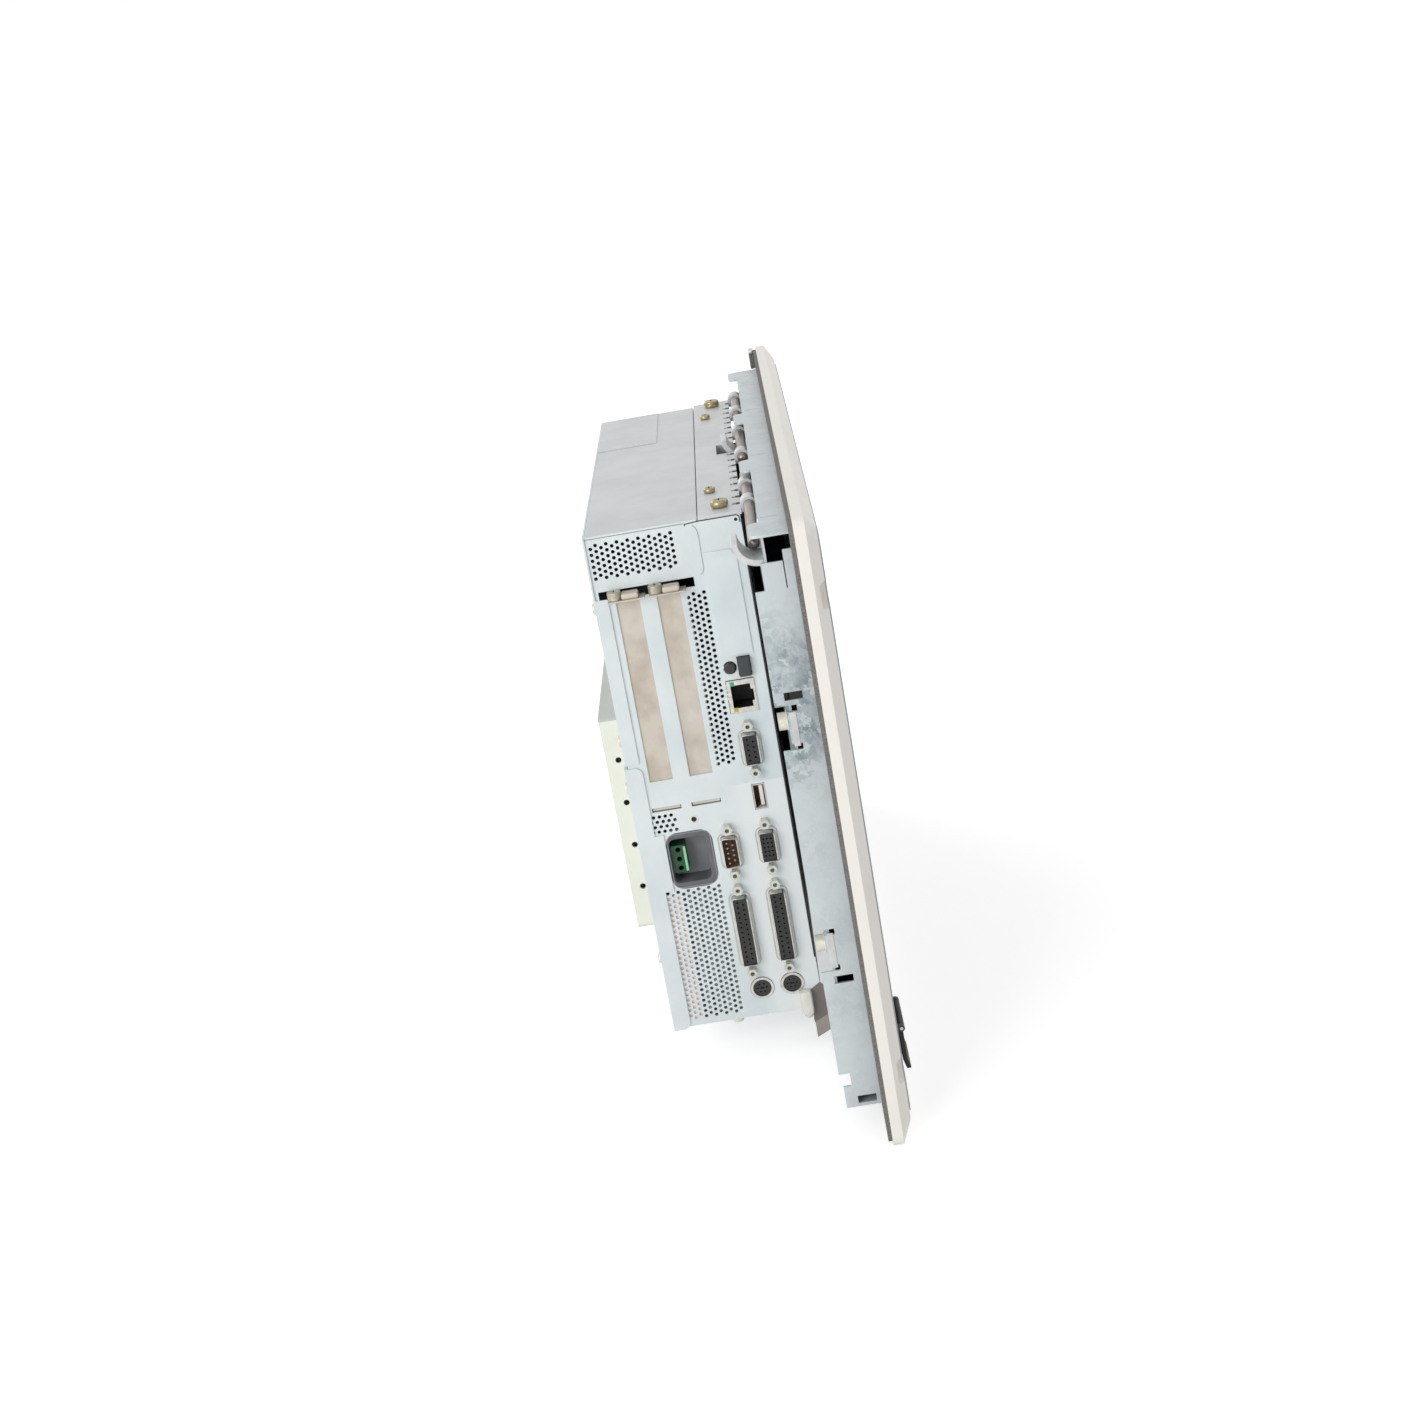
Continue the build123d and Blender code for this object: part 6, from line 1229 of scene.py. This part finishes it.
@dataclass
class PortField(Assembly):
    """Connectors, buttons, inlet and tag on the port side."""

    plain: tuple = (("jack_screws", Coat.JACK), ("locking_post", Coat.POST))
    soft: tuple = (
        ("power_terminal", 0.3, 2, Coat.TERMINAL),
        ("card_eject_button", 0.5, 2, Coat.BUTTON),
        ("reset_button", 1.0, 3, Coat.RESET),
    )
    shell_height: float = 8.2
    shell_wall: float = 0.5
    flange_reach: float = 3.4
    din_insert: float = 4.75
    jack_half: float = 7.0
    mouth_edges: Range = (11.8, 1.9)
    lamp_half: float = 1.1
    tongue_offset: float = 6.2 / 6
    rim_inset: float = 2.3
    rim_corner: float = 4.2
    collar_rise: float = 6.5
    collar_wall: float = 0.8

    def __post_init__(self) -> None:
        """Finds what several ports share: the port side's X and the Y of the lower sockets' middle."""
        self.side = limits("port_side_plate")[0].x
        low, high = limits("video_socket")
        self.middle_y = (low.y + high.y) / 2

    def details(self) -> None:
        """Dresses the ports whose faces take more than one finish and adds what stands round them."""
        for node in ("dsub25_socket_1", "dsub25_socket_2", "dsub9_plug", "video_socket", "dsub9_socket"):
            self.d_connector(node)
        for node in ("din_socket_1", "din_socket_2"):
            self.din(node)
        self.upright_socket()
        self.network()
        self.inlet()
        self.post_collar()
        outer = lambda centre, normal: int(centre.x < self.side - 0.45)
        self.shop.dress("cable_tag", Coat.TAG, Coat.TAG_LOWER, choose=outer)

    def d_connector(self, node: str) -> None:
        """Parts a connector's insert and pins from its shell and adds its flange's pressed edge."""
        side = self.side
        low, high = limits(node)
        middle = (low + high) / 2
        points = [vert.co / MM for vert in self.shop.data(node).vertices if vert.co.x / MM < side - 1]
        shell_low = [min(point[i] for point in points) for i in range(3)]
        shell_high = [max(point[i] for point in points) for i in range(3)]
        half_height = self.shell_height / 2 - self.shell_wall - 0.04
        half_length = shell_high[2] - middle.z - self.shell_wall - 0.04
        plug = node == "dsub9_plug"

        def shell_or_insert(centre: Vector, normal: Vector) -> int:
            """Numbers the finish: shell, insert or pin."""
            inside = abs(centre.y - middle.y) < half_height and abs(centre.z - middle.z) < half_length
            if inside and plug and centre.x < side - 0.05:
                return 2
            return 1 if inside or centre.x > side + 1.9 else 0

        insert = Coat.INSERT_BROWN if plug else Coat.INSERT
        self.shop.dress(node, Coat.BRIGHT, insert, Coat.PIN, choose=shell_or_insert)
        place = on_side(side - 0.26, (shell_low[1] + shell_high[1]) / 2, (shell_low[2] + shell_high[2]) / 2)
        size = [shell_high[i] - shell_low[i] + self.flange_reach for i in (1, 2)]
        edge = band_mesh(place, size, self.flange_reach, 0.6, 0.25)
        self.add(f"{node}.flange", edge, "bright_metal", Coat.FLANGE)

    def din(self, node: str) -> None:
        """Parts a round socket's insert from its collar."""
        low, high = limits(node)
        y, z = (low.y + high.y) / 2, (low.z + high.z) / 2
        insert = lambda centre, normal: int(math.hypot(centre.y - y, centre.z - z) < self.din_insert)
        self.shop.dress(node, Coat.BRIGHT, Coat.ROUND_INSERT, choose=insert)

    def upright_socket(self) -> None:
        """Parts the upright socket's tongue and dark inside from its tube."""
        low, high = limits("usb_socket")
        front, middle_y = low.x, self.middle_y
        tongue_y = middle_y - self.tongue_offset

        def tube_or_tongue(centre: Vector, normal: Vector) -> int:
            """Numbers the finish: tube, inside or tongue."""
            if centre.x < front + 0.05 or centre.x > high.x - 0.3:
                return 0
            if abs(centre.y - tongue_y) < 0.97 and centre.x > front + 1.8:
                return 2
            return int(abs(centre.y - middle_y) < 2.75 and low.z + 0.35 < centre.z < high.z - 0.35)

        self.shop.dress("usb_socket", Coat.BRIGHT, Coat.USB_INSIDE, Coat.TONGUE, choose=tube_or_tongue)

    def network(self) -> None:
        """Parts the network socket's mouth and lamps from its shield and adds the lamps' windows."""
        low, high = limits("ethernet_jack")
        middle_z, front = (low.z + high.z) / 2, low.x
        mouth = [self.middle_y + self.jack_half - edge for edge in self.mouth_edges]

        def shield_or_mouth(centre: Vector, normal: Vector) -> int:
            """Numbers the finish: shield, mouth, upper lamp or lower lamp."""
            if mouth[1] - 1.65 < centre.y < mouth[1] + 0.05 and centre.x < front + 1.65:
                for number, z in ((2, high.z - 1.6), (3, low.z + 1.6)):
                    if abs(centre.z - z) < 0.85:
                        return number
            if centre.x < front + 0.02 or centre.x > front + 13.5:
                return 0
            return int(mouth[0] - 1.3 < centre.y < mouth[1] + 0.05 and abs(centre.z - middle_z) < 6.05)

        coats = (Coat.BRIGHT, Coat.INSERT_BLACK, Coat.LAMP_GREEN, Coat.LAMP_YELLOW)
        self.shop.dress("ethernet_jack", *coats, choose=shield_or_mouth)
        for name, z, coat in (("upper", high.z - 1.7, coats[2]), ("lower", low.z + 1.7, coats[3])):
            start = (front - 0.15, mouth[1] + 0.1 - 2 * self.lamp_half, z - self.lamp_half)
            lamp = box_mesh(start, (front + 0.4, mouth[1] + 0.1, z + self.lamp_half), 0.12)
            self.add(f"network_lamp_{name}", lamp, "green_plastic", coat)

    def inlet(self) -> None:
        """Parts the well's floor from its walls and adds a painted highlight round its rim and the terminal's
        pale, lit edge.
        """
        deep = self.side + 4
        floor = lambda centre, normal: int(normal.x < -0.7 and centre.x > deep)
        self.shop.rounded("power_recess", 0.6, Coat.RECESS, Coat.WELL, choose=floor)
        low, high = limits("power_recess")
        place = on_side(low.x - 0.11, (low.y + high.y) / 2, (low.z + high.z) / 2)
        size = (high.y - low.y - 2 * self.rim_inset, high.z - low.z - 2 * self.rim_inset)
        # a light grey band round the well: painted highlight on the rim
        rim = band_mesh(place, size, self.rim_corner, 0.5, 0.1)
        self.add("inlet_rim_highlight", rim, "grey_plastic", Coat.RIM)
        low, high = limits("power_terminal")
        start = (low.x - 0.8, low.y + 0.1, low.z + 0.8)
        edge = box_mesh(start, (low.x + 0.4, low.y + 1.4, high.z - 0.8), 0.2)
        self.add("terminal_edge", edge, "green_plastic", Coat.TERMINAL_EDGE)

    def post_collar(self) -> None:
        """Adds the wider collar round the locking post."""
        low, high = limits("locking_post")
        x, y = (low.x + high.x) / 2, (low.y + high.y) / 2
        reach = (high.x - low.x) / 2 + self.collar_wall
        corner = (x + reach, y + reach, high.z + self.collar_rise)
        mesh = box_mesh((x - reach, y - reach, low.z + 1.8), corner, 2.0)
        self.add("post_collar", mesh, "cream_plastic", Coat.POST)


@dataclass
class DriveBay(Assembly):
    """Drives on the far side and the disk in the rear box."""

    plain: tuple = (
        ("optical_drive", Coat.DRIVE),
        ("drive_cradle", Coat.INNER_ZINC),
        ("hard_disk", Coat.DRIVE),
    )
    soft: tuple = (
        ("optical_tray", 0.4, 2, Coat.DRIVE_FACE),
        ("tray_button", 0.3, 2, Coat.BUTTON),
        ("floppy_drive", 0.4, 2, Coat.DRIVE_FACE),
        ("floppy_button", 0.4, 2, Coat.BUTTON),
    )


@dataclass
class Electronics(Assembly):
    """Boards, supply and cooling inside the unit."""

    plain: tuple = (
        ("motherboard", Coat.CIRCUIT),
        ("bus_board", Coat.CIRCUIT),
        ("heatsink", Coat.SINK),
        ("power_supply", Coat.INNER_ZINC),
        ("fan_housing", Coat.BLACK),
        ("fan_rotor", Coat.BLACK),
        ("card_cage", Coat.DRIVE),
    )


@dataclass
class Studio:
    """Camera, floor, air and lamps. Its places and sizes are in metres."""

    place: tuple = (-1.179847, 0.007951, 0.381430)
    right: tuple = (-0.01047, -0.98550, -0.16937)
    up: tuple = (0.30807, -0.16432, 0.93707)
    ahead: tuple = (0.95131, 0.04237, -0.30532)
    focal: float = 57.2024
    sensor: float = 36.0
    clip: Range = (0.05, 200.0)
    fill: float = 0.62
    floor_white: float = 0.52
    floor_grey: tuple = (0.8, 0.8, 0.8, 1.0)
    floor_reach: float = 40.0
    floor_gap: float = 0.0002
    lamps: tuple = (
        ("key_lamp", (-1.75, 1.25, 0.7), 1.2, 20.0),
        ("far_lamp", (1.6, 1.2, 1.0), 1.0, 8.0),
        ("front_lamp", (1.3, -1.8, 0.9), 1.0, 6.0),
    )

    def build(self) -> None:
        """Sets up the studio round the object."""
        self.camera()
        self.air()
        self.floor()
        for name, place, size, power in self.lamps:
            self.lamp(name, place, size, power)
        bpy.context.scene.view_settings.view_transform = "Standard"

    def camera(self) -> None:
        """Places the camera as the photograph was taken."""
        data = bpy.data.cameras.new("camera")
        data.lens = self.focal
        data.sensor_width = self.sensor
        data.clip_start, data.clip_end = self.clip
        item = placed("camera", data)
        turn = Matrix((self.right, self.up, [-part for part in self.ahead])).transposed()
        item.matrix_world = Matrix.Translation(self.place) @ turn.to_quaternion().to_matrix().to_4x4()
        bpy.context.scene.camera = item

    def air(self) -> None:
        """Fills the studio with soft light, white where the camera, gloss and glass see it."""
        world = bpy.data.worlds.new("studio_air")
        bpy.context.scene.world = world
        world.use_nodes = True
        tree = world.node_tree
        tree.nodes.clear()
        seen = self.seen(tree, ("Is Camera Ray", "Is Glossy Ray", "Is Transmission Ray"))
        soft = add(tree, "ShaderNodeBackground", {"Color": WHITE, "Strength": self.fill})
        plain = add(tree, "ShaderNodeBackground", {"Color": WHITE, "Strength": 1.0})
        mixed = add(tree, "ShaderNodeMixShader", {0: seen, 1: soft.outputs[0], 2: plain.outputs[0]})
        add(tree, "ShaderNodeOutputWorld", {"Surface": mixed.outputs[0]})

    def seen(self, tree: Tree, rays: Sequence[str]) -> Socket:
        """Gives 1 for any of the named rays of the Light Path node."""
        path = add(tree, "ShaderNodeLightPath")
        value = path.outputs[rays[0]]
        for ray in rays[1:]:
            inputs = {0: value, 1: path.outputs[ray]}
            value = add(tree, "ShaderNodeMath", inputs, operation="MAXIMUM").outputs[0]
        return value

    def floor(self) -> None:
        """Lays a pale floor under the object, which keeps its shadow."""
        low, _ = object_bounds()
        mesh = bmesh.new()
        place = Matrix.Translation((0, 0, low.z - self.floor_gap))
        bmesh.ops.create_grid(mesh, x_segments=1, y_segments=1, size=self.floor_reach, matrix=place)
        item = placed("floor", mesh_data("floor", mesh))
        material = bpy.data.materials.new("pale_floor")
        material.use_nodes = True
        tree = material.node_tree
        tree.nodes.clear()
        seen = self.seen(tree, ("Is Camera Ray", "Is Glossy Ray"))
        level = add(tree, "ShaderNodeMath", {0: seen, 1: self.floor_white}, operation="MULTIPLY").outputs[0]
        matt = add(tree, "ShaderNodeBsdfDiffuse", {"Color": self.floor_grey})
        glow = add(tree, "ShaderNodeEmission", {"Color": WHITE, "Strength": level})
        both = add(tree, "ShaderNodeAddShader", {0: matt.outputs[0], 1: glow.outputs[0]})
        add(tree, "ShaderNodeOutputMaterial", {"Surface": both.outputs[0]})
        item.data.materials.append(material)
        item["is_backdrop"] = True

    def lamp(self, name: str, place: Sequence[float], size: float, power: float) -> None:
        """Hangs a soft lamp that faces the object.

        Args:
            name: Its name.
            place: Where it hangs.
            size: Side of its square window.
            power: Its power in watts.
        """
        data = bpy.data.lights.new(name, "AREA")
        data.shape = "SQUARE"
        data.size = size
        data.energy = power
        item = placed(name, data)
        item.location = place
        item.rotation_mode = "QUATERNION"
        item.rotation_quaternion = (-Vector(place)).to_track_quat("-Z", "Y")


def main() -> None:
    """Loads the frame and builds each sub-assembly."""
    logging.basicConfig(level=logging.INFO, format="%(name)s: %(message)s")
    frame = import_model()
    shop = Workshop(frame)
    for assembly in (OperatorFront, DisplayFrame, UnitCase, PortField, DriveBay, Electronics):
        assembly(shop).build()
    Studio().build()


if __name__ == "__main__":
    main()
